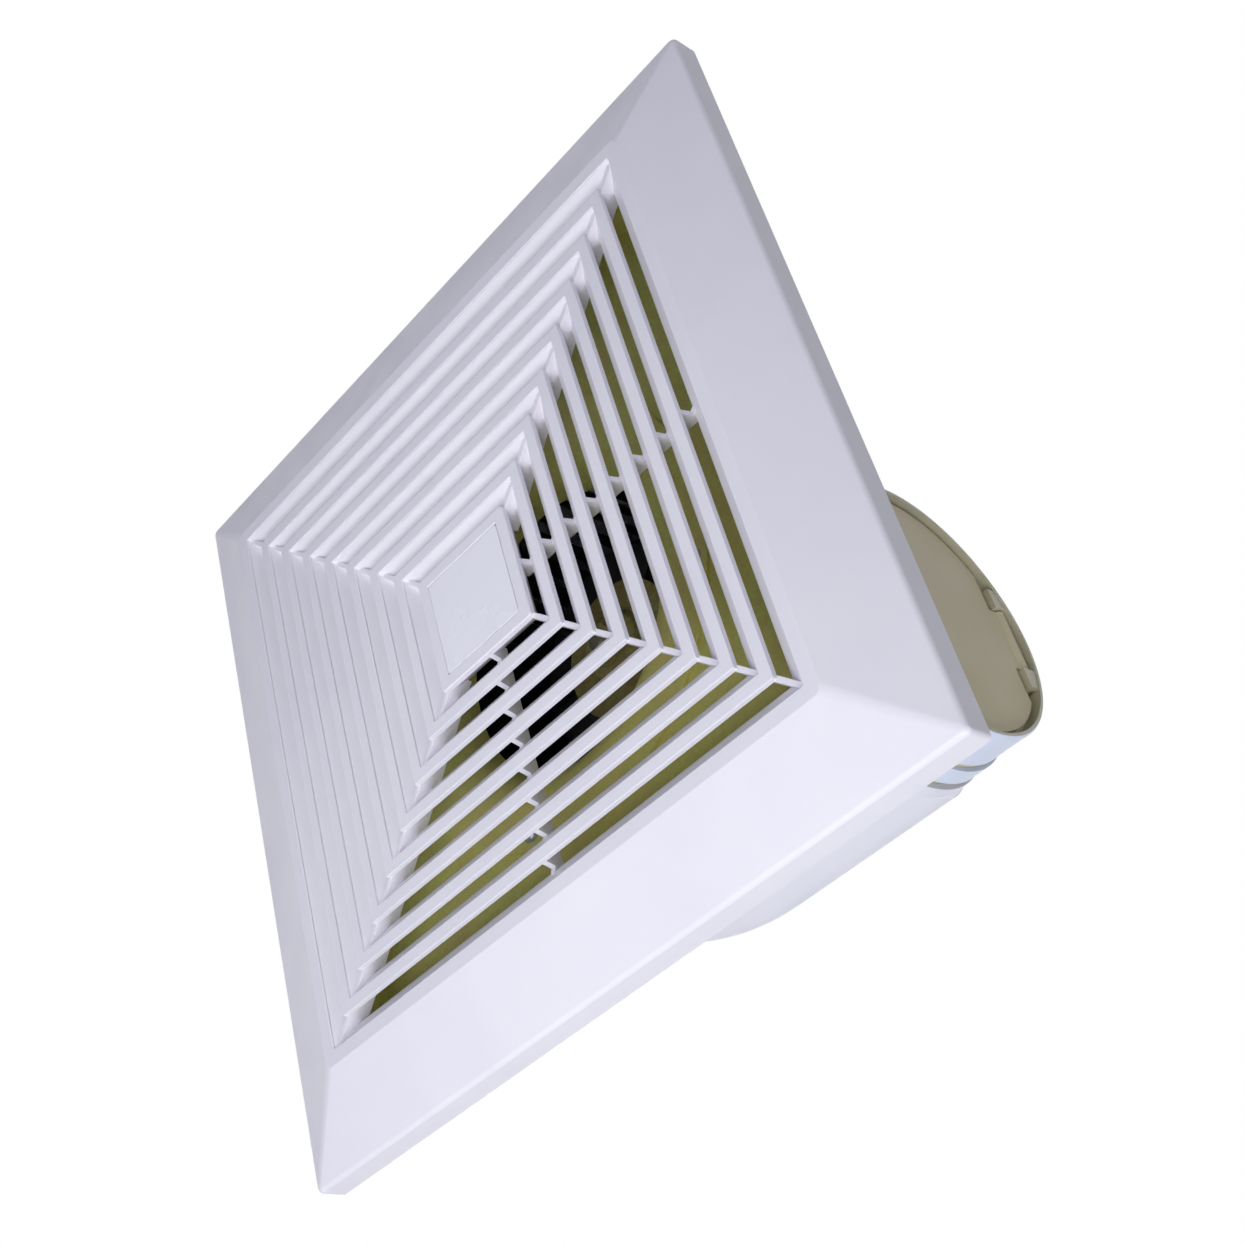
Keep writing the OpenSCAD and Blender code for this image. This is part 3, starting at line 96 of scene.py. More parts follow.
def plated_sheet(name, light, dark, polish, spangle, metallic=0.55):
    """Zinc-plated sheet: crystals of two tones, rolling lines, and a polish that changes with them.

    The crystals are as wide as the spangle, in millimetres, and stains of about 40 mm shade them.
    The rolling lines are 0.4 mm apart, coarser than real ones so that they show.
    """
    finish, tree, shader, where = new_finish(name, Metallic=metallic)
    crystal = add(tree, "ShaderNodeTexVoronoi", {"Vector": where, "Scale": 1 / (spangle * MM)}, feature="F1")
    tone = add(tree, "ShaderNodeSeparateColor", {"Color": crystal.outputs["Color"]})
    soft_tone = add(tree, "ShaderNodeMapRange", {0: tone.outputs["Red"], 3: 0.55})
    stain = add(tree, "ShaderNodeTexNoise", {"Vector": where, "Scale": 26.0, "Detail": 4.0})
    patch = add(tree, "ShaderNodeMath", {0: soft_tone.outputs[0], 1: stain.outputs["Fac"]},
                operation="MULTIPLY").outputs[0]
    rough = add(tree, "ShaderNodeMapRange", {0: patch, 1: 0.1, 2: 0.6, 3: polish + 0.1, 4: polish - 0.06})
    stretched = add(tree, "ShaderNodeMapping", {"Vector": where, "Scale": (40.0, 2600.0, 40.0)})
    rolled = add(tree, "ShaderNodeTexNoise", {"Vector": stretched.outputs[0], "Scale": 1.0, "Detail": 2.0})
    bump = add(tree, "ShaderNodeBump", {"Height": rolled.outputs["Fac"], "Strength": 0.25,
                                        "Distance": 0.04 * MM})
    joined(tree, shader, {"Base Color": two_tone(tree, patch, 0.2, 0.6, dark, light),
                          "Roughness": rough.outputs[0], "Normal": bump.outputs[0]})
    return finish


def linked(name, data):
    """A new object in the scene."""
    piece = bpy.data.objects.new(name, data)
    bpy.context.scene.collection.objects.link(piece)
    return piece


def mesh_of(shape, name):
    """A mesh from mesh code, which is then gone."""
    mesh = bpy.data.meshes.new(name)
    shape.to_mesh(mesh)
    shape.free()
    return mesh


def applied(piece, name=None):
    """A plain mesh object from a piece with its modifiers, which are then gone."""
    name = name or piece.name
    graph = bpy.context.evaluated_depsgraph_get()
    mesh = bpy.data.meshes.new_from_object(piece.evaluated_get(graph))
    bpy.data.objects.remove(piece)
    return linked(name, mesh)


def softened(node, edge):
    """A piece with a CAD node's shape, its sharp edges broken by a small round in millimetres."""
    shape = bmesh.new()
    shape.from_mesh(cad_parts[node].data)
    bmesh.ops.remove_doubles(shape, verts=shape.verts, dist=CAD_WELD)
    bmesh.ops.dissolve_limit(shape, angle_limit=radians(0.6), verts=shape.verts, edges=shape.edges)
    piece = linked(node + "_made", mesh_of(shape, node + "_edges"))
    bevel = piece.modifiers.new("edges", "BEVEL")
    bevel.width, bevel.segments = edge * MM, 2
    bevel.limit_method, bevel.angle_limit = "ANGLE", radians(32)
    bevel.use_clamp_overlap, bevel.miter_outer = True, "MITER_ARC"
    return applied(piece)


def placed(piece, finish, body, slot, *nodes, angle=35.0):
    """Gives a piece its finish and smooth faces, puts it on its body and hides the nodes that it replaces.
    The slot is not used.
    """
    piece.data.materials.clear()
    piece.data.materials.append(finish)
    piece.data.shade_smooth()
    piece.data.set_sharp_from_angle(angle=radians(angle))
    level = piece.modifiers.new("level faces", "WEIGHTED_NORMAL")
    level.keep_sharp, level.weight = True, 90
    piece = applied(piece)
    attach(piece, body)
    if nodes:
        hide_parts(*nodes)


# Yellow passivated zinc: a thin chromate film that is olive, nearly matt and faintly mottled.
passivated_zinc = plated_sheet("yellow passivated zinc sheet", "#E0E682", "#DCD083", 0.5, 1.2, 0.12)
placed(softened("mounting_frame", 0.3), passivated_zinc, "housing", "passivated_steel", "mounting_frame")


# The inlet ring is pressed from the same sheet: a trumpet-shaped mouth that leads the air
# into the impeller, with a flat rim that four pan-head screws hold on the tray's floor.

placed(softened("inlet_ring", 0.3), passivated_zinc, "housing", "passivated_steel", "inlet_ring")

# Bright zinc plating on cold-headed steel: a cool grey with a clean shine and a fine sparkle.
zinc = plated_sheet("bright zinc-plated screw steel", "#D9DCE0", "#AEB2B8", 0.3, 0.6)


def screw_head(name, turns):
    """A screw of radius 1: a domed head on z = 0 with a slot at each turn, and a ridged shank."""
    dome = [(0.0, 0.72), (0.35, 0.70), (0.62, 0.62), (0.85, 0.46), (0.97, 0.24), (1.0, 0.05), (0.98, 0.0)]
    shank, ridge, rise = 0.53, 0.09, 0.16
    thread = [(shank - ridge * (i % 2), -rise * i) for i in range(1, 16)]
    tip = [(0.3, -2.55), (0.0, -2.75)]
    around = 32
    shape = bmesh.new()
    rings = [[shape.verts.new((radius * cos(2 * pi * k / around), radius * sin(2 * pi * k / around), height))
              for k in range(around if radius else 1)]
             for radius, height in dome + [(shank, 0.0)] + thread + tip]
    for upper, lower in zip(rings, rings[1:]):
        for k in range(around):
            n = (k + 1) % around
            corners = (upper[k % len(upper)], upper[n % len(upper)],
                       lower[n % len(lower)], lower[k % len(lower)])
            shape.faces.new(list(dict.fromkeys(corners)))
    bmesh.ops.recalc_face_normals(shape, faces=shape.faces)
    screw = linked(name, mesh_of(shape, name))

    slot_length, slot_width, slot_height, slot_middle, taper = 1.15, 0.24, 0.6, 0.62, 0.72
    cutter = bmesh.new()
    for turn in turns:
        for v in bmesh.ops.create_cube(cutter, size=1.0)["verts"]:
            narrow = taper if v.co.z < 0 else 1.0
            v.co = Vector((v.co.x * slot_length * narrow, v.co.y * slot_width * narrow,
                           slot_middle + v.co.z * slot_height))
            v.co.rotate(Matrix.Rotation(radians(turn), 3, "Z"))
    cut = linked(name + "_cut", mesh_of(cutter, name + "_cut"))
    boolean = screw.modifiers.new("recess", "BOOLEAN")
    boolean.operation, boolean.object, boolean.solver = "DIFFERENCE", cut, "EXACT"
    boolean.use_self = True
    made = applied(screw, name + "_master")
    bpy.data.objects.remove(cut)
    return made


cross_screw = screw_head("cross_screw", (0, 90))
slot_screw = screw_head("slot_screw", (0,))


def screw_tree():
    """A node tree that puts a screw on every point, along the point's axis, at a turn of its own."""
    tree = bpy.data.node_groups.new("screws on points", "GeometryNodeTree")
    for name, kind, way in (("Points", "NodeSocketGeometry", "INPUT"), ("Screw", "NodeSocketObject", "INPUT"),
                            ("Head radius", "NodeSocketFloat", "INPUT"),
                            ("Finish", "NodeSocketMaterial", "INPUT"),
                            ("Screws", "NodeSocketGeometry", "OUTPUT")):
        tree.interface.new_socket(name, in_out=way, socket_type=kind)
    given = add(tree, "NodeGroupInput").outputs
    screw = add(tree, "GeometryNodeObjectInfo", {"Object": given["Screw"], "As Instance": True})
    axis = add(tree, "GeometryNodeInputNamedAttribute", {"Name": "axis"}, data_type="FLOAT_VECTOR")
    upright = add(tree, "FunctionNodeAlignRotationToVector", {"Vector": axis.outputs["Attribute"]}, axis="Z")
    turn = add(tree, "FunctionNodeRandomValue", {2: 0.0, 3: 6.28, "Seed": 7}, data_type="FLOAT")
    spin = add(tree, "FunctionNodeAxisAngleToRotation", {"Axis": (0, 0, 1), "Angle": turn.outputs[1]})
    facing = add(tree, "FunctionNodeRotateRotation", {"Rotation": upright.outputs[0],
                                                      "Rotate By": spin.outputs[0]}, rotation_space="LOCAL")
    put = add(tree, "GeometryNodeInstanceOnPoints", {
        "Points": given["Points"], "Instance": screw.outputs["Geometry"], "Rotation": facing.outputs[0],
        "Scale": given["Head radius"]})
    real = add(tree, "GeometryNodeRealizeInstances", {"Geometry": put.outputs[0]})
    done = add(tree, "GeometryNodeSetMaterial", {"Geometry": real.outputs[0], "Material": given["Finish"]})
    add(tree, "NodeGroupOutput", {"Screws": done.outputs[0]})
    return tree


def run_tree(base, tree, inputs, name):
    """Runs a node tree on a base mesh with its inputs set by identifier: a plain mesh object."""
    modifier = base.modifiers.new("build", "NODES")
    modifier.node_group = tree
    for item in tree.interface.items_tree:
        if item.in_out == "INPUT" and item.name in inputs:
            modifier[item.identifier] = inputs[item.name]
    return applied(base, name)


def loose_solids(node):
    """The lowest and highest corner of each separate solid in a CAD node."""
    shape = bmesh.new()
    shape.from_mesh(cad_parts[node].data)
    bmesh.ops.remove_doubles(shape, verts=shape.verts, dist=CAD_WELD)
    left, boxes = set(shape.verts), []
    while left:
        group, border = set(), [next(iter(left))]
        while border:
            v = border.pop()
            if v not in group:
                group.add(v)
                border.extend(e.other_vert(v) for e in v.link_edges)
        left -= group
        boxes.append((Vector(min(v.co[i] for v in group) for i in range(3)),
                      Vector(max(v.co[i] for v in group) for i in range(3))))
    shape.free()
    return sorted(boxes, key=lambda box: tuple(round(x, 5) for x in box[0]))


screws_on_points = screw_tree()


def screws(node, axis, head_radius, head_height, master=cross_screw, finish=zinc, slot="zinc_steel"):
    """The screws of one CAD node, each at its solid's place with its head where the CAD head sits.

    The axis points out of the head. It is one vector, or a function of the screw's middle.
    """
    seats = []
    for low, high in loose_solids(node):
        middle = (low + high) / 2
        way = Vector(axis(middle) if callable(axis) else axis)
        tip = middle + Vector((high - low)[i] / 2 * way[i] for i in range(3))
        seats.append((tip - way * (head_height * MM), way))
    mesh = bpy.data.meshes.new(node + "_points")
    mesh.from_pydata([seat for seat, _ in seats], [], [])
    directions = mesh.attributes.new("axis", "FLOAT_VECTOR", "POINT")
    for i, (_, way) in enumerate(seats):
        directions.data[i].vector = way
    made = run_tree(linked(node + "_points", mesh), screws_on_points,
                    {"Screw": master, "Head radius": head_radius * MM, "Finish": finish}, node + "_made")
    placed(made, finish, "housing", slot, node, angle=40.0)


screws("inlet_ring_screws", (0, 0, -1), 3.6, 2.2)


# The scroll casing is one moulding in white plastic: a snail with a large round upper edge,
# an outlet that turns from square to round, and a foot flange with seven screws.

SHAPE_WELD = 0.001 * MM  # joins the corners that a shape's own parts share


def moulded(name, colour, shade, roughness, grain=0.5, depth=0.02):
    """Injection moulded plastic: faint flow clouds, patches of polish, and a spark-eroded grain.

    The clouds are about 70 mm wide and the patches 17 mm. The grain's width and depth are in
    millimetres, coarser than real ones so that they show.
    """
    finish, tree, shader, where = new_finish(name)
    flow = add(tree, "ShaderNodeTexNoise", {"Vector": where, "Scale": 14.0, "Detail": 3.0, "Distortion": 0.6})
    rubbed = add(tree, "ShaderNodeTexNoise", {"Vector": where, "Scale": 60.0, "Detail": 4.0})
    rough = add(tree, "ShaderNodeMapRange", {0: rubbed.outputs["Fac"], 1: 0.3, 2: 0.7,
                                             3: roughness - 0.04, 4: roughness + 0.05})
    spark = add(tree, "ShaderNodeTexNoise", {"Vector": where, "Scale": 1 / (grain * MM), "Detail": 2.0})
    bump = add(tree, "ShaderNodeBump", {"Height": spark.outputs["Fac"], "Strength": 0.35,
                                        "Distance": depth * MM})
    joined(tree, shader, {"Base Color": two_tone(tree, flow.outputs["Fac"], 0.35, 0.65, shade, colour),
                          "Roughness": rough.outputs[0], "Normal": bump.outputs[0]})
    return finish


def shape_piece(shape, name):
    """An object from finished mesh code, its faces turned outwards."""
    bmesh.ops.remove_doubles(shape, verts=shape.verts, dist=SHAPE_WELD)
    bmesh.ops.recalc_face_normals(shape, faces=shape.faces)
    return linked(name, mesh_of(shape, name))


# Satin ABS from a fine-eroded mould: a near white with a soft, even sheen.
casing_white = moulded("satin white moulded ABS", "#F8F8FF", "#F4F4FC", 0.4)
placed(softened("scroll_casing", 0.4), casing_white, "housing", "housing_plastic", "scroll_casing")
screws("casing_screws", (0, 0, 1), 3.6, 2.2)

# The bore for the adapter's sleeve cuts through both flat side walls where the outlet starts to
# turn round. A web of the same moulding closes each opening, a hair below the wall's own face.
DUCT_Y, DUCT_Z, SLEEVE_R, SOCKET_R = 63.0, 62.0, 49.2, 51.6
BLEND_START, BLEND_LENGTH, INNER_WALL, OUTER_WALL = 80.0, 6.0, 14.0, 107.0
WEB_T, WEB_LAP, WEB_INSET, WEB_ROWS, WEB_COLUMNS = 1.0, 0.4, 0.04, 24, 8
webs = bmesh.new()
for side, wall in ((-1, INNER_WALL), (1, OUTER_WALL)):
    slope = (DUCT_Y + side * SOCKET_R - wall) / BLEND_LENGTH
    reach = (DUCT_Y + side * SLEEVE_R - wall) / slope
    front, back = [], []
    for row in range(WEB_ROWS + 1):
        share = row / WEB_ROWS
        opening = sqrt(max(SLEEVE_R ** 2 - (wall + slope * reach * share - DUCT_Y) ** 2, 0))
        half = opening + WEB_LAP * (1 + 3 * (1 - share) ** 3)
        x = reach * share + WEB_LAP * (2 * share - 1)
        y = wall + slope * max(x, 0) - side * WEB_INSET
        for sheet, depth in ((front, 0), (back, WEB_T)):
            sheet.append([webs.verts.new(Vector((
                BLEND_START + x, y - side * depth, DUCT_Z + half * (2 * column / WEB_COLUMNS - 1))) * MM)
                for column in range(WEB_COLUMNS + 1)])
    for sheet in (front, back):
        for a, b in zip(sheet, sheet[1:]):
            for k in range(WEB_COLUMNS):
                webs.faces.new((a[k], a[k + 1], b[k + 1], b[k]))
    near, far = [sheet[0] + [r[-1] for r in sheet[1:-1]] + sheet[-1][::-1] + [r[0] for r in sheet[-2:0:-1]]
                 for sheet in (front, back)]
    for k in range(len(near)):
        webs.faces.new((near[k - 1], near[k], far[k], far[k - 1]))
placed(shape_piece(webs, "outlet_webs"), casing_white, "housing", "housing_plastic")


# The outlet adapter is turned and moulded in a cooler white: a sleeve in the scroll's socket,
# a collar that stops it, a groove for the duct's clamp and the pipe that the duct goes over.
# Its bore is khaki: painted shade for the dim inside of the pipe.

BORE_R, BORE_FADE = 49.6, 0.4


def object_place(finish):
    """A finish's tree and the Object coordinates in it."""
    return finish.node_tree, finish.node_tree.nodes["Texture Coordinate"].outputs["Object"]


def overlaid(finish, share, light, dark):
    """Lays two mottled tones, in 25 mm clouds, over a finish's own colour as far as the share goes."""
    tree, where = object_place(finish)
    mottle = add(tree, "ShaderNodeTexNoise", {"Vector": where, "Scale": 40.0, "Detail": 4.0})
    tones = two_tone(tree, mottle.outputs["Fac"], 0.3, 0.7, dark, light)
    base = tree.nodes["Principled BSDF"].inputs["Base Color"]
    mixed = add(tree, "ShaderNodeMix", {0: share, 6: base.links[0].from_socket, 7: tones}, data_type="RGBA")
    tree.links.new(mixed.outputs[2], base)


# ABS with a blue whitener, moulded in a smoother mould than the casing: a colder white that
# shines a little more. In the bore, a khaki tone that is painted shade for the pipe's dim inside.
duct_white = moulded("cool white moulded ABS", "#E6F0FF", "#E0EAFB", 0.34)
tree, where = object_place(duct_white)
offset = add(tree, "ShaderNodeVectorMath", {0: where, 1: (0, DUCT_Y * MM, DUCT_Z * MM)}, operation="SUBTRACT")
across = add(tree, "ShaderNodeVectorMath", {0: offset.outputs[0], 1: (0, 1, 1)}, operation="MULTIPLY")
radius = add(tree, "ShaderNodeVectorMath", {0: across.outputs[0]}, operation="LENGTH")
# Painted shade: inside BORE_R of the pipe's axis the adapter takes a khaki overlay.
bore_shade_share = add(tree, "ShaderNodeMapRange", {0: radius.outputs["Value"], 1: BORE_R * MM,
                                           2: (BORE_R - BORE_FADE) * MM})
overlaid(duct_white, bore_shade_share.outputs[0], "#D8D2B6", "#CEC9A8")
placed(softened("outlet_adapter", 0.25), duct_white, "housing", "duct_plastic", "outlet_adapter")


def away_from_duct(middle):
    """The way that an adapter screw's head looks: up on the outlet's top, out of it on its side."""
    return (0, 0, 1) if middle.z > 100 * MM else (0, -1, 0)


screws("adapter_screws", away_from_duct, 2.6, 1.6)


# The backdraft flap is a thin moulded disc on a steel pin. It hangs closed in the pipe's mouth
# and the fan's air swings it up; a foam ring on its back seals it.

# Polypropylene, khaki and waxy: the khaki is partly its own colour and partly painted shade for the dim mouth
# of the pipe, and painted shade makes its lower part greener.
flap_khaki = moulded("khaki moulded polypropylene", "#E8DDBA", "#DFD5AA", 0.5)
tree, where = object_place(flap_khaki)
height = add(tree, "ShaderNodeSeparateXYZ", {"Vector": where}).outputs["Z"]
# Painted shade: below 66 mm the flap turns greener, most of all below 36 mm.
low_shade_share = add(tree, "ShaderNodeMapRange", {0: height, 1: 66 * MM, 2: 36 * MM, 4: 0.8})
overlaid(flap_khaki, low_shade_share.outputs[0], "#CFD886", "#C4CE7C")
placed(softened("backdraft_flap", 0.3), flap_khaki, "flap", "flap_plastic", "backdraft_flap")


def give(node, finish):
    """Gives a CAD node a finish."""
    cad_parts[node].data.materials.clear()
    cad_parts[node].data.materials.append(finish)


def cellular(name, light, dark, cell, depth):
    """Foam or rubber: open cells, in millimetres, that dent the surface, with painted shade that darkens
    their hollows.
    """
    finish, tree, shader, where = new_finish(name, Roughness=0.85)
    cells = add(tree, "ShaderNodeTexVoronoi", {"Vector": where, "Scale": 1 / (cell * MM)}, feature="F1")
    bump = add(tree, "ShaderNodeBump", {"Height": cells.outputs["Distance"], "Strength": 0.6,
                                        "Distance": depth * MM})
    # Painted shade: the colour darkens towards each cell's hollow middle.
    joined(tree, shader, {"Base Color": two_tone(tree, cells.outputs["Distance"], 0.0, 0.7, dark, light),
                          "Normal": bump.outputs[0]})
    return finish


# Cut polyurethane foam: a dull grey of open cells, each with a dark middle of painted shade.
give("flap_seal", cellular("grey sealing foam", "#6E6E70", "#454547", 0.9, 0.2))
give("hinge_pin", zinc)


# The impeller is moulded in black plastic round a brass bush: forty forward-curved blades
# between two rings, and a ribbed dish that wraps the motor. A pressed hub plate of passivated
# steel is riveted under the dish: it is the dim olive disc deep in the intake.

HUB_PROFILE = [
    (8.7, 42.9), (11.6, 43.1), (12.6, 43.5), (13.4, 44.6), (14.2, 46.2), (15.4, 46.8), (21.4, 47.8),
    (26.2, 48.9), (27.0, 49.3), (27.0, 49.45), (26.0, 49.4), (21.0, 48.6), (15.2, 47.6), (13.5, 46.8),
    (12.7, 45.0), (12.1, 43.9), (8.7, 43.7)]
RIVET_PROFILE = [(0.05, 45.3), (1.0, 45.45), (1.8, 45.9), (2.2, 46.6), (2.2, 47.4), (0.05, 47.4)]
RIVETS, RIVET_CIRCLE_R, RIVET_RISE = 4, 19.5, 0.5

# Black polypropylene from a coarser mould: a dark, dry surface that catches little light.
wheel_black = moulded("black moulded polypropylene", "#1D1D1F", "#17171A", 0.46, 0.8, 0.03)
placed(softened("impeller", 0.15), wheel_black, "rotor", "wheel_plastic", "impeller")


def lathe(shape, profile, around=96, at=(0, 0, 0)):
    """Turns a closed profile of radius and height, in millimetres, round an upright axis."""
    turns = [2 * pi * k / around for k in range(around)]
    rings = [[shape.verts.new((Vector(at) + Vector((r * cos(t), r * sin(t), z))) * MM) for t in turns]
             for r, z in profile]
    for a, b in zip(rings, rings[1:] + rings[:1]):
        for k in range(around):
            shape.faces.new((a[k], a[k - 1], b[k - 1], b[k]))


hub_plate = bmesh.new()
lathe(hub_plate, HUB_PROFILE)
for k in range(RIVETS):
    turn = radians(45 + 360 / RIVETS * k)
    lathe(hub_plate, RIVET_PROFILE, 32, (RIVET_CIRCLE_R * cos(turn), RIVET_CIRCLE_R * sin(turn), RIVET_RISE))
# The same yellow passivation under dust: a browner olive with no shine.
dull_zinc = plated_sheet("dull passivated hub steel", "#A9A765", "#92804E", 0.5, 1.2, 0.15)
placed(shape_piece(hub_plate, "hub_plate"), dull_zinc, "rotor", "passivated_steel")


def turned_metal(name, light, dark, roughness, metallic=1.0):
    """Metal from a lathe: rings round the upright axis, and stains of two tones about 11 mm wide.

    The rings are 2.5 mm apart, coarser than a tool's marks so that they show.
    """
    finish, tree, shader, where = new_finish(name, Metallic=metallic)
    stain = add(tree, "ShaderNodeTexNoise", {"Vector": where, "Scale": 90.0, "Detail": 4.0}).outputs["Fac"]
    rough = add(tree, "ShaderNodeMapRange", {0: stain, 1: 0.3, 2: 0.7,
                                             3: roughness + 0.06, 4: roughness - 0.05})
    cut = add(tree, "ShaderNodeTexWave", {"Vector": where, "Scale": 125.0, "Distortion": 0.4},
              wave_type="RINGS", rings_direction="Z")
    bump = add(tree, "ShaderNodeBump", {"Height": cut.outputs["Fac"], "Strength": 0.2, "Distance": 0.03 * MM})
    joined(tree, shader, {"Base Color": two_tone(tree, stain, 0.35, 0.65, dark, light),
                          "Roughness": rough.outputs[0], "Normal": bump.outputs[0]})
    return finish


# Brass from the bar, turned: a warm yellow with a clear shine.
brass = turned_metal("turned brass", "#D8B45A", "#B08A3C", 0.28)
give("hub_bush", brass)
give("impeller_nut", dull_zinc)
give("impeller_washer", dull_zinc)


# The motor: two pressed and galvanised bells hold the laminated stator between them with four
# tie bolts, and the shaft runs in two shielded ball bearings.

WAVE = 6.2832 / 20  # a wave texture's scale is this over the distance between its waves

# Hot-dip galvanised sheet: grey crystals 6 mm wide, some bright and some dull.
galvanised = plated_sheet("galvanised pressed steel", "#C6C9CD", "#9DA1A7", 0.36, 6.0)
# Ground bearing steel: the brightest and smoothest metal here. The shaft is the same under dust.
ground_steel = turned_metal("ground bearing steel", "#D6D8DC", "#B9BCC2", 0.2)
dusty_steel = turned_metal("dusty shaft steel", "#8E8C7A", "#6F6C5A", 0.5, 0.6)


def laminated(name, light, dark, sheet):
    """A stack of punched sheets: dark joints between bright cut edges along the upright axis.

    A sheet is given in millimetres, twice as thick as a real one so that the joints show.
    """
    finish, tree, shader, where = new_finish(name, Metallic=0.8, Roughness=0.42)
    along = add(tree, "ShaderNodeMapping", {"Vector": where, "Scale": (0.0, 0.0, 1.0)})
    layers = add(tree, "ShaderNodeTexWave", {"Vector": along.outputs[0], "Scale": WAVE / (sheet * MM)},
                 bands_direction="Z").outputs["Fac"]
    bump = add(tree, "ShaderNodeBump", {"Height": layers, "Strength": 0.6, "Distance": 0.1 * MM})
    joined(tree, shader, {"Base Color": two_tone(tree, layers, 0.0, 1.0, dark, light),
                          "Normal": bump.outputs[0]})
    return finish


def wound(name, light, dark, wire):
    """Enamelled copper wire laid side by side, in millimetres: round bands with a hard gloss, and painted
    shade that darkens the gaps between them.
    """
    finish, tree, shader, where = new_finish(name, Metallic=0.7, Roughness=0.3, Coat_Weight=0.6)
    bands = add(tree, "ShaderNodeTexWave", {"Vector": where, "Scale": WAVE / (wire * MM), "Distortion": 1.2},
                wave_type="RINGS", rings_direction="Z").outputs["Fac"]
    bump = add(tree, "ShaderNodeBump", {"Height": bands, "Strength": 0.8, "Distance": 0.2 * MM})
    # Painted shade: the colour darkens in the bands' troughs, between the wires.
    joined(tree, shader, {"Base Color": two_tone(tree, bands, 0.0, 1.0, dark, light),
                          "Normal": bump.outputs[0]})
    return finish


for node in ("lower_bell", "upper_bell"):
    placed(softened(node, 0.25), galvanised, "housing", "motor_steel", node)
for node in ("lower_bearing", "upper_bearing"):
    give(node, ground_steel)
give("motor_shaft", dusty_steel)
# Silicon steel punched in sheets: fine grey layers with dark joints.
stack_steel = laminated("punched silicon steel stack", "#8E9196", "#3C3E42", 1.0)
for node in ("stator_core", "rotor_core"):
    give(node, stack_steel)
give("tie_bolts", zinc)
# Enamelled copper: red-brown wire with painted shade in the dark gaps between the wires, and a varnish shine.
give("stator_coils", wound("enamelled copper wire", "#B5642A", "#5F2C10", 0.8))


# The motor plate hangs the motor from the scroll's top: a galvanised disc with a rolled rim
# on three rubber grommets, each with a screw into a pillar of the scroll.

placed(softened("motor_plate", 0.25), galvanised, "housing", "motor_steel", "motor_plate")
# Moulded rubber: black, dry, and all but smooth.
give("rubber_grommets", cellular("black moulded rubber", "#232324", "#1A1A1B", 0.4, 0.03))
screws("plate_screws", (0, 0, 1), 4.2, 2.2)


# The supply: a moulded terminal box with a block, a lid, a nylon gland and its lock nut, and
# an earth screw beside it. The motor's run capacitor is held down by a steel strap.

# ABS without whitener: a plain grey-white next to the casing.
box_white = moulded("grey-white moulded ABS", "#DEDFE3", "#D6D7DC", 0.42)
for node in ("terminal_box", "terminal_cover"):
    placed(softened(node, 0.3), box_white, "housing", "housing_plastic", node)
# Moulded nylon: black with a low waxy gloss in the gland, its own cream in the block.
black_nylon = moulded("black moulded nylon", "#202022", "#19191B", 0.4)
for node in ("cable_gland", "gland_nut"):
    placed(softened(node, 0.3), black_nylon, "housing", "black_nylon", node)
give("terminal_block", moulded("cream moulded nylon", "#EDE9DA", "#E3DECC", 0.4))
give("terminal_screws", brass)
# A moulded polypropylene case: ivory, smooth, a little glossier than the box.
ivory_case = moulded("ivory moulded case", "#E9E6DC", "#DEDACD", 0.36)
placed(softened("capacitor", 1.2), ivory_case, "housing", "capacitor_plastic", "capacitor")
placed(softened("capacitor_clip", 0.15), zinc, "housing", "zinc_steel", "capacitor_clip")
for node, head_radius, head_height in (("box_screw", 3.6, 2.0), ("cover_screws", 3.0, 1.5),
                                       ("clip_screw", 3.6, 2.2)):
    screws(node, (0, 0, 1), head_radius, head_height)
screws("earth_screw", (0, 0, 1), 3.6, 2.2, slot_screw, brass, "brass")
for master in (cross_screw, slot_screw):
    bpy.data.objects.remove(master)


# The grille panel is one white moulding: a skirt, a sloped border and a flat rim round seven
# square louvres, with cross ribs and mitre ribs behind them and a boss in the middle.

HALF, SKIRT, FRONT, RIM, OPENING = 150.0, 10.7, -22.7, 119.0, 113.8
PITCH, BOSS, PLATE = 11.63, 24.2, 19.0
CORNER_STEPS = 6


def square_ring(half, corner, height):
    """Points round a square with round corners, in millimetres, anticlockwise from above."""
    ring = []
    for quarter, (sx, sy) in enumerate(((1, 1), (-1, 1), (-1, -1), (1, -1))):
        for step in range(CORNER_STEPS + 1):
            turn = radians(90 * quarter + 90 * step / CORNER_STEPS)
            ring.append(Vector((sx * (half - corner) + corner * cos(turn),
                                sy * (half - corner) + corner * sin(turn), height)) * MM)
    return ring


def round_ring(radius, height):
    """Points on a circle that pair with a square ring's points."""
    ring = []
    for p in square_ring(10.0, 9.99, 0.0):
        turn = atan2(p.y, p.x)
        ring.append(Vector((radius * cos(turn), radius * sin(turn), height)) * MM)
    return ring


def loft(shape, rings, closed=False):
    """Skins a row of rings that have the same number of points."""
    made = [[shape.verts.new(p) for p in ring] for ring in rings]
    pairs = list(zip(made, made[1:])) + ([(made[-1], made[0])] if closed else [])
    for a, b in pairs:
        for i in range(len(a)):
            j = (i + 1) % len(a)
            shape.faces.new((a[i], a[j], b[j], b[i]))
    return made


def arc(centre, radius, start, end, steps):
    """Points on an arc in the plane of half-width and height."""
    return [(centre[0] + radius * cos(radians(start + (end - start) * i / steps)),
             centre[1] + radius * sin(radians(start + (end - start) * i / steps))) for i in range(steps + 1)]


def plan_corner(half):
    """The radius of the panel's corner in plan at a half-width: tightest at the opening."""
    if half <= RIM:
        return 0.8 + 2.7 * (half - OPENING) / (RIM - OPENING)
    return 3.5 - 1.5 * (half - RIM) / (HALF - RIM)


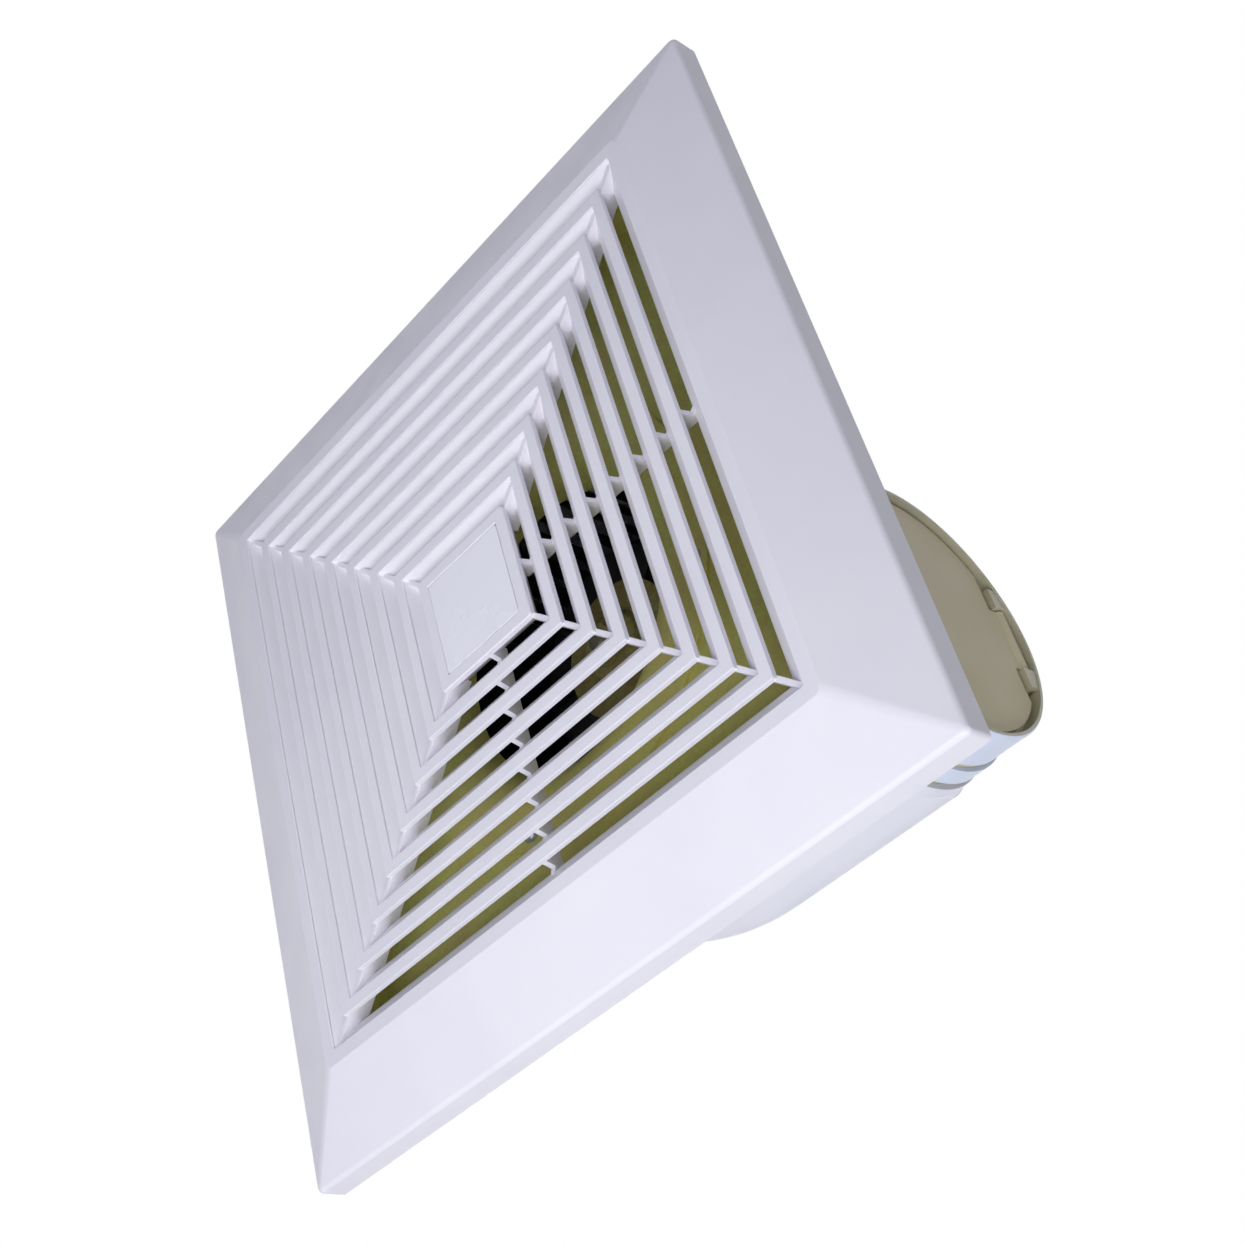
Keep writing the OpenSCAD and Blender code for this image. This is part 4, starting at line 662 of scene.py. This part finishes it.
def panel_profile():
    """Half-width, height and corner radius from the skirt's lip round the rim and back inside."""
    slope = atan2(-FRONT - SKIRT, HALF - RIM)
    face, edge, wall = -90 + slope * 180 / pi, 2.4, 2.2
    drop = edge * tan((pi / 2 - slope) / 2)
    outer = [(HALF - 0.4, 0.0), (HALF, -0.4)]
    outer += arc((HALF - edge, -SKIRT + drop), edge, 0, face, 6)
    outer += arc((RIM + 0.19, FRONT + 1.0), 1.0, face, -90, 3)
    outer += arc((OPENING + 0.6, FRONT + 0.6), 0.6, -90, -180, 4)
    inner = [(OPENING, -20.55), (OPENING + 0.2, -20.35), (RIM, -20.34), (HALF - wall, -9.2),
             (HALF - wall, -0.3), (HALF - 1.9, 0.0)]
    return ([(h, z, max(0.5, plan_corner(h))) for h, z in outer]
            + [(h, z, max(0.5, plan_corner(h) - 1.2)) for h, z in inner])


# ABS with a fine eroded texture: a warm-cool white whose sheen is broken by the grain.
panel_white = moulded("white moulded ABS with fine texture", "#F3F1F7", "#EFEDF4", 0.38)
shell = bmesh.new()
loft(shell, [square_ring(half, corner, height) for half, height, corner in panel_profile()], closed=True)
placed(shape_piece(shell, "panel_shell"), panel_white, "panel", "panel_plastic", "grille_panel", angle=20.0)


def louvre_tree():
    """A node tree for concentric square louvres: a section, repeated outwards and swept round a square."""
    tree = bpy.data.node_groups.new("square louvres", "GeometryNodeTree")
    for name, kind, way in (("Section", "NodeSocketGeometry", "INPUT"), ("Count", "NodeSocketInt", "INPUT"),
                            ("First half-width", "NodeSocketFloat", "INPUT"),
                            ("Pitch", "NodeSocketFloat", "INPUT"),
                            ("Edge radius", "NodeSocketFloat", "INPUT"),
                            ("Finish", "NodeSocketMaterial", "INPUT"),
                            ("Louvres", "NodeSocketGeometry", "OUTPUT")):
        tree.interface.new_socket(name, in_out=way, socket_type=kind)
    given = add(tree, "NodeGroupInput").outputs
    curve = add(tree, "GeometryNodeMeshToCurve", {"Mesh": given["Section"]})
    rounded = add(tree, "GeometryNodeFilletCurve", {"Curve": curve.outputs[0], "Radius": given["Edge radius"],
                                                    "Count": 3}, mode="POLY")
    section = add(tree, "GeometryNodeCurveToMesh", {"Curve": rounded.outputs[0]})
    start = add(tree, "ShaderNodeCombineXYZ", {"X": given["First half-width"]})
    step = add(tree, "ShaderNodeCombineXYZ", {"X": given["Pitch"]})
    places = add(tree, "GeometryNodeMeshLine", {"Count": given["Count"], "Start Location": start.outputs[0],
                                                "Offset": step.outputs[0]}, mode="OFFSET")
    copies = add(tree, "GeometryNodeInstanceOnPoints", {"Points": places.outputs[0],
                                                        "Instance": section.outputs[0]})
    flat = add(tree, "GeometryNodeRealizeInstances", {"Geometry": copies.outputs[0]})
    # Each section, flat in the plane of half-width and height, is drawn out from 0 to 2 and then
    # bent into one side of the square, whose two ends meet the next sides in a mitre.
    rise = add(tree, "ShaderNodeCombineXYZ", {"Z": 2.0})
    upward = add(tree, "GeometryNodeExtrudeMesh", {"Mesh": flat.outputs[0], "Offset": rise.outputs[0],
                                                   "Offset Scale": 1.0}, mode="EDGES")
    part = add(tree, "ShaderNodeSeparateXYZ", {"Vector": add(tree, "GeometryNodeInputPosition").outputs[0]})
    end = add(tree, "ShaderNodeMath", {0: part.outputs["Z"], 1: 1.0}, operation="SUBTRACT")
    across = add(tree, "ShaderNodeMath", {0: end.outputs[0], 1: part.outputs["X"]}, operation="MULTIPLY")
    mitred = add(tree, "ShaderNodeCombineXYZ", {"X": across.outputs[0], "Y": part.outputs["X"],
                                                "Z": part.outputs["Y"]})
    side = add(tree, "GeometryNodeSetPosition", {"Geometry": upward.outputs[0],
                                                 "Position": mitred.outputs[0]})
    sides = add(tree, "GeometryNodeJoinGeometry")
    for quarter in range(4):
        turned = add(tree, "GeometryNodeTransform", {"Geometry": side.outputs[0],
                                                     "Rotation": (0.0, 0.0, quarter * pi / 2)})
        tree.links.new(turned.outputs[0], sides.inputs[0])
    welded = add(tree, "GeometryNodeMergeByDistance", {"Geometry": sides.outputs[0], "Distance": 0.005 * MM})
    real = add(tree, "GeometryNodeRealizeInstances", {"Geometry": welded.outputs[0]})
    done = add(tree, "GeometryNodeSetMaterial", {"Geometry": real.outputs[0], "Material": given["Finish"]})
    add(tree, "NodeGroupOutput", {"Louvres": done.outputs[0]})
    return tree


square_louvres = louvre_tree()


def louvre_rows(name, points, count, half, edge):
    """Louvres of one section, given from the lip's outer corner inwards and up, as a finished piece."""
    mesh = bpy.data.meshes.new(name + "_section")
    mesh.from_pydata([(x * MM, (y + FRONT) * MM, 0) for x, y in points],
                     [(i, (i + 1) % len(points)) for i in range(len(points))], [])
    piece = run_tree(linked(name + "_section", mesh), square_louvres, {
        "Count": count, "First half-width": half * MM, "Pitch": PITCH * MM, "Edge radius": edge * MM,
        "Finish": panel_white}, name)
    outward = bmesh.new()
    outward.from_mesh(piece.data)
    bmesh.ops.recalc_face_normals(outward, faces=outward.faces)
    outward.to_mesh(piece.data)
    outward.free()
    placed(piece, panel_white, "panel", "panel_plastic", "grille_panel", angle=30.0)


LOUVRES, LIP, LIP_HEIGHT, LIP_CHAMFER, LEAN, DEPTH, BACK = 7, 4.5, 2.2, 0.8, 6.8, 7.0, 2.0
blade = [(0, LIP_HEIGHT), (BACK - LIP - LEAN, DEPTH), (-LIP - LEAN, DEPTH), (-LIP, LIP_CHAMFER)]
louvre_rows("louvres", [(0, 0)] + blade + [(-LIP, 0)], LOUVRES, BOSS + PITCH, 0.35)
louvre_rows("rim_blade", [(0, LIP_CHAMFER)] + blade, 1, OPENING + LIP, 0.2)

# A straight rib's front edge dips from each lip down to the next louvre's blade.
RIB_BACK, RIB_OVERLAP = 10.0, 5
lips = [BOSS + i * PITCH for i in range(LOUVRES + 1)]
rib_front = []
for inner, outer in zip(lips, lips[1:] + [OPENING + LIP]):
    rib_front += [(inner - 0.3, LIP_HEIGHT), (inner + 0.5, 6.4),
                  (outer - LIP - (LEAN - BACK) / 2, (LIP_CHAMFER + DEPTH) / 2)]
outline = rib_front + [(rib_front[-1][0], RIB_BACK), (BOSS - RIB_OVERLAP, RIB_BACK),
                       (BOSS - RIB_OVERLAP, LIP_HEIGHT)]
ribs = bmesh.new()
for quarter in range(4):
    turn = Matrix.Rotation(quarter * pi / 2, 3, "Z")
    sheets = [[ribs.verts.new(turn @ Vector((h, y, FRONT + z)) * MM) for h, z in outline] for y in (-1, 1)]
    for sheet in sheets:
        ribs.faces.new(sheet)
    fronts = []
    for i in range(len(outline)):
        j = (i + 1) % len(outline)
        face = ribs.faces.new((sheets[0][i], sheets[0][j], sheets[1][j], sheets[1][i]))
        if j < len(rib_front):
            fronts += [e for e in face.edges if e.verts[0] in sheets[0] and e.verts[1] in sheets[0]
                       or e.verts[0] in sheets[1] and e.verts[1] in sheets[1]]
    bmesh.ops.bevel(ribs, geom=fronts, offset=0.2 * MM, segments=2, affect="EDGES", profile=0.5)
placed(shape_piece(ribs, "cross_ribs"), panel_white, "panel", "panel_plastic", "grille_panel")


def rounded_bar(shape, low, high, edge):
    """A box between two corners in millimetres with its edges broken."""
    made = bmesh.ops.create_cube(shape, size=1.0)["verts"]
    size, middle = Vector(high) - Vector(low), (Vector(high) + Vector(low)) / 2
    for v in made:
        v.co = Vector((v.co[i] * size[i] + middle[i] for i in range(3))) * MM
    edges = list(dict.fromkeys(e for v in made for e in v.link_edges))
    bmesh.ops.bevel(shape, geom=edges, offset=edge * MM, segments=2, affect="EDGES", profile=0.5)


# The mitre ribs run from the boss to the rim behind the louvres' corners.
mitres = bmesh.new()
for side in (-1, 1):
    for lean in (45, -45):
        bar = bmesh.new()
        ends = sorted((side * (BOSS * 2 ** 0.5 - 7), side * ((OPENING + 1.1) * 2 ** 0.5 - 2)))
        rounded_bar(bar, (ends[0], -1, FRONT + 1.6), (ends[1], 1, FRONT + RIB_BACK), 0.25)
        bmesh.ops.rotate(bar, verts=bar.verts, cent=(0, 0, 0), matrix=Matrix.Rotation(radians(lean), 3, "Z"))
        mitres.from_mesh(mesh_of(bar, "mitre_bar"))
placed(shape_piece(mitres, "mitre_ribs"), panel_white, "panel", "panel_plastic", "grille_panel")

# The boss is a square cup with a recess for the centre plate and a hole for its peg.
PEG_HOLE_R, SHELF = 2.7, 1.65
boss = bmesh.new()
loft(boss, [
    square_ring(PLATE + 0.75, 0.6, FRONT), square_ring(BOSS - 0.4, 1.2, FRONT),
    square_ring(BOSS, 1.4, FRONT + 0.4), square_ring(BOSS, 1.4, FRONT + 2.2),
    square_ring(BOSS - 5, 1.0, FRONT + 9), square_ring(BOSS - 7, 1.0, FRONT + 9),
    square_ring(14.0, 1.0, FRONT + 4.0), round_ring(PEG_HOLE_R, FRONT + 4.0),
    round_ring(PEG_HOLE_R, FRONT + SHELF), square_ring(PLATE + 0.45, 0.5, FRONT + SHELF),
    square_ring(PLATE + 0.45, 0.5, FRONT + 0.3)], closed=True)
placed(shape_piece(boss, "centre_boss"), panel_white, "panel", "panel_plastic", "grille_panel")

# Behind the rim on two sides, a post with a headed peg carries each panel spring's coil.
SPRING_Y, SPRING_Z, POST_T, POST_HALF = 30, -9, 4.6, 8
PEGS = ((2.5, 6.5, 7.5), (3.4, 6.5, 0.9))  # radius, start inside the opening's edge, and length
posts = bmesh.new()
for side in (-1, 1):
    across = sorted((side * OPENING, side * (OPENING + POST_T)))
    along = sorted((-side * (SPRING_Y - POST_HALF), -side * (SPRING_Y + POST_HALF)))
    rounded_bar(posts, (across[0], along[0], -20.4), (across[1], along[1], -5.0), 0.4)
    turn = Matrix.Rotation(radians(90 * side), 4, "Y")
    for radius, start, length in PEGS:
        middle = Vector((side * (OPENING - start + length / 2), -side * SPRING_Y, SPRING_Z)) * MM
        peg = bmesh.ops.create_cone(posts, cap_ends=True, segments=32, radius1=radius * MM,
                                    radius2=radius * MM, depth=length * MM,
                                    matrix=Matrix.Translation(middle) @ turn)["verts"]
        edges = dict.fromkeys(e for v in peg for e in v.link_edges)
        ends = [e for e in edges if abs(e.verts[0].co.x - e.verts[1].co.x) < SHAPE_WELD]
        bmesh.ops.bevel(posts, geom=ends, offset=0.25 * MM, segments=2, affect="EDGES", profile=0.5)
placed(shape_piece(posts, "spring_posts"), panel_white, "panel", "panel_plastic", "grille_panel")


# The centre plate is a small plain insert, polished where the panel is textured, that snaps
# into the boss with a peg.

# ABS from a polished mould: the whitest and glossiest face of the panel, with almost no grain.
plate_white = moulded("polished insert moulded ABS", "#FBFAFF", "#F7F6FD", 0.24, 2.0, 0.01)
plate = bmesh.new()
rings = loft(plate, [
    square_ring(PLATE - 0.2, 0.6, FRONT), square_ring(PLATE + 0.1, 0.8, FRONT + 0.1),
    square_ring(PLATE + 0.25, 0.9, FRONT + 0.4), square_ring(PLATE + 0.25, 0.9, FRONT + 1.3),
    square_ring(PLATE - 0.3, 0.7, FRONT + 1.6), round_ring(2.5, FRONT + 1.6), round_ring(2.5, FRONT + 3.85),
    round_ring(3.1, FRONT + 4.15), round_ring(1.9, FRONT + 6.1)])
plate.faces.new(rings[0])
plate.faces.new(rings[-1])
placed(shape_piece(plate, "centre_plate_made"), plate_white, "panel", "plate_plastic", "centre_plate")


# The panel springs are wound from round steel wire: a coil on the panel's peg and two straight
# legs, whose bent ends catch in the tray's slots and pull the panel up.

WIRE_R, COIL_R, COIL_TURN, COIL_STEPS, COIL_X = 0.9, 3.6, 500, 80, 111
LEG_LEAN, LEG_HEIGHT, HOOK = 16, 68, 7


def spring_path():
    """The wire's centre line: up one leg with its bent end, round the coil, and up the other leg."""
    lean, length = radians(LEG_LEAN), 2.0 * COIL_TURN / 360

    def leg(side, x):
        start = Vector((x, side * COIL_R * cos(lean), -COIL_R * sin(lean)))
        tip = start + LEG_HEIGHT / cos(lean) * Vector((0, side * sin(lean), cos(lean)))
        return [start, tip, tip + Vector((0, side * WIRE_R, WIRE_R)), tip + Vector((0, side * HOOK, WIRE_R))]

    turns = [radians(180 + LEG_LEAN + COIL_TURN * i / COIL_STEPS) for i in range(1, COIL_STEPS)]
    coil = [Vector((-length / 2 + length * (i + 1) / COIL_STEPS, COIL_R * cos(t), COIL_R * sin(t)))
            for i, t in enumerate(turns)]
    return leg(-1, -length / 2)[::-1] + coil + leg(1, length / 2)


# Drawn spring wire: cool bright steel with a smooth shine along the legs.
spring_wire = turned_metal("bright drawn spring wire", "#D3D6DB", "#A9ADB4", 0.22)
for turn, node in ((0, "panel_spring_right"), (pi, "panel_spring_left")):
    line = bpy.data.curves.new(node, "CURVE")
    line.dimensions, line.bevel_depth, line.bevel_resolution, line.use_fill_caps = "3D", WIRE_R * MM, 4, True
    points = spring_path()
    spline = line.splines.new("POLY")
    spline.points.add(len(points) - 1)
    for point, p in zip(spline.points, points):
        point.co = (*(Matrix.Rotation(turn, 3, "Z") @ (p + Vector((COIL_X, -SPRING_Y, SPRING_Z))) * MM), 1)
    placed(applied(linked(node + "_line", line), node + "_made"), spring_wire, "panel", "spring_steel", node)


# The studio: a pale floor under the camera, a large soft lamp below the panel, weak fills
# before the grille, beside the duct and from above and behind, and a white surround.

FLOOR_HALF, FLOOR_Z, FLOOR_GLOW = 4, -0.9, 0.72
floor_mesh = bpy.data.meshes.new("floor")
floor_mesh.from_pydata([(x * FLOOR_HALF, y * FLOOR_HALF, FLOOR_Z)
                        for x, y in ((-1, -1), (1, -1), (1, 1), (-1, 1))], [], [(0, 1, 2, 3)])
floor = linked("floor", floor_mesh)
# Matt paper: pale and even. What the camera sees of it is mostly glow, so that it stays pale
# under weak lamps and still shows the fan's shadow.
floor_finish, tree, shader, where = new_finish("pale matt paper", Roughness=0.9)
fibre = add(tree, "ShaderNodeTexNoise", {"Vector": where, "Scale": 30.0}).outputs["Fac"]
joined(tree, shader, {"Base Color": two_tone(tree, fibre, 0.0, 1.0, "#E9EBF5", "#EFF1FA")})
glow = add(tree, "ShaderNodeEmission", {"Color": linear("#F4F4F6"), "Strength": 1.0})
ray = add(tree, "ShaderNodeLightPath").outputs
share = add(tree, "ShaderNodeMath", {0: ray["Is Camera Ray"], 1: FLOOR_GLOW}, operation="MULTIPLY")
paper = add(tree, "ShaderNodeMixShader", {0: share.outputs[0], 1: shader.outputs[0], 2: glow.outputs[0]})
tree.links.new(paper.outputs[0], tree.nodes["Material Output"].inputs["Surface"])
floor_mesh.materials.append(floor_finish)

world = bpy.data.worlds.new("white surround")
bpy.context.scene.world = world
world.use_nodes = True
sky = world.node_tree
sky.nodes.clear()
ray = add(sky, "ShaderNodeLightPath").outputs
seen = add(sky, "ShaderNodeMath", {0: ray["Is Camera Ray"], 1: ray["Is Glossy Ray"]}, operation="MAXIMUM")
seen = add(sky, "ShaderNodeMath", {0: seen.outputs[0], 1: ray["Is Transmission Ray"]}, operation="MAXIMUM")
ambient = add(sky, "ShaderNodeBackground", {"Color": linear("#DCE0FF"), "Strength": 0.14})
white = add(sky, "ShaderNodeBackground", {"Color": (1, 1, 1, 1), "Strength": 1.0})
shown = add(sky, "ShaderNodeMixShader", {0: seen.outputs[0], 1: ambient.outputs[0], 2: white.outputs[0]})
add(sky, "ShaderNodeOutputWorld", {"Surface": shown.outputs[0]})


def lamp(name, way, distance, size, power, colour="#FFFFFF"):
    """A soft square lamp that looks at the middle of the fan."""
    light = bpy.data.lights.new(name, "AREA")
    light.size, light.energy, light.color = size, power, linear(colour)[:3]
    holder = linked(name, light)
    target = Vector((0, 0, 0.03))
    holder.location = target + Vector(way).normalized() * distance
    holder.rotation_euler = (target - holder.location).to_track_quat("-Z", "Y").to_euler()


lamp("key lamp", (0.083, 0.65, -0.48), 1.1, 0.7, 7.6)
lamp("front fill", (0.0, 0.06, -1.0), 0.33, 0.2, 0.132)
lamp("duct fill", (1.0, 0.15, -0.25), 1.1, 0.6, 1.25)
lamp("side fill", (0.25, 1.0, 0.15), 1.1, 0.6, 1.95, "#ECEEFF")
lamp("top fill", (-0.45, -0.5, 0.75), 1.3, 1.0, 4.6, "#E8EAFF")

# The camera was fitted to the panel's eight outer corners in the photograph.
camera_data = bpy.data.cameras.new("camera")
camera_data.lens, camera_data.sensor_width = 53.1947, 36.0
camera_data.clip_start, camera_data.clip_end = 0.01, 20.0
camera = linked("camera", camera_data)
camera.location = (0.349607, 0.377184, -0.398848)
camera.rotation_euler = [radians(angle) for angle in (-159.408030, -45.677484, 20.499496)]
bpy.context.scene.camera = camera
bpy.context.scene.view_settings.view_transform = "Standard"
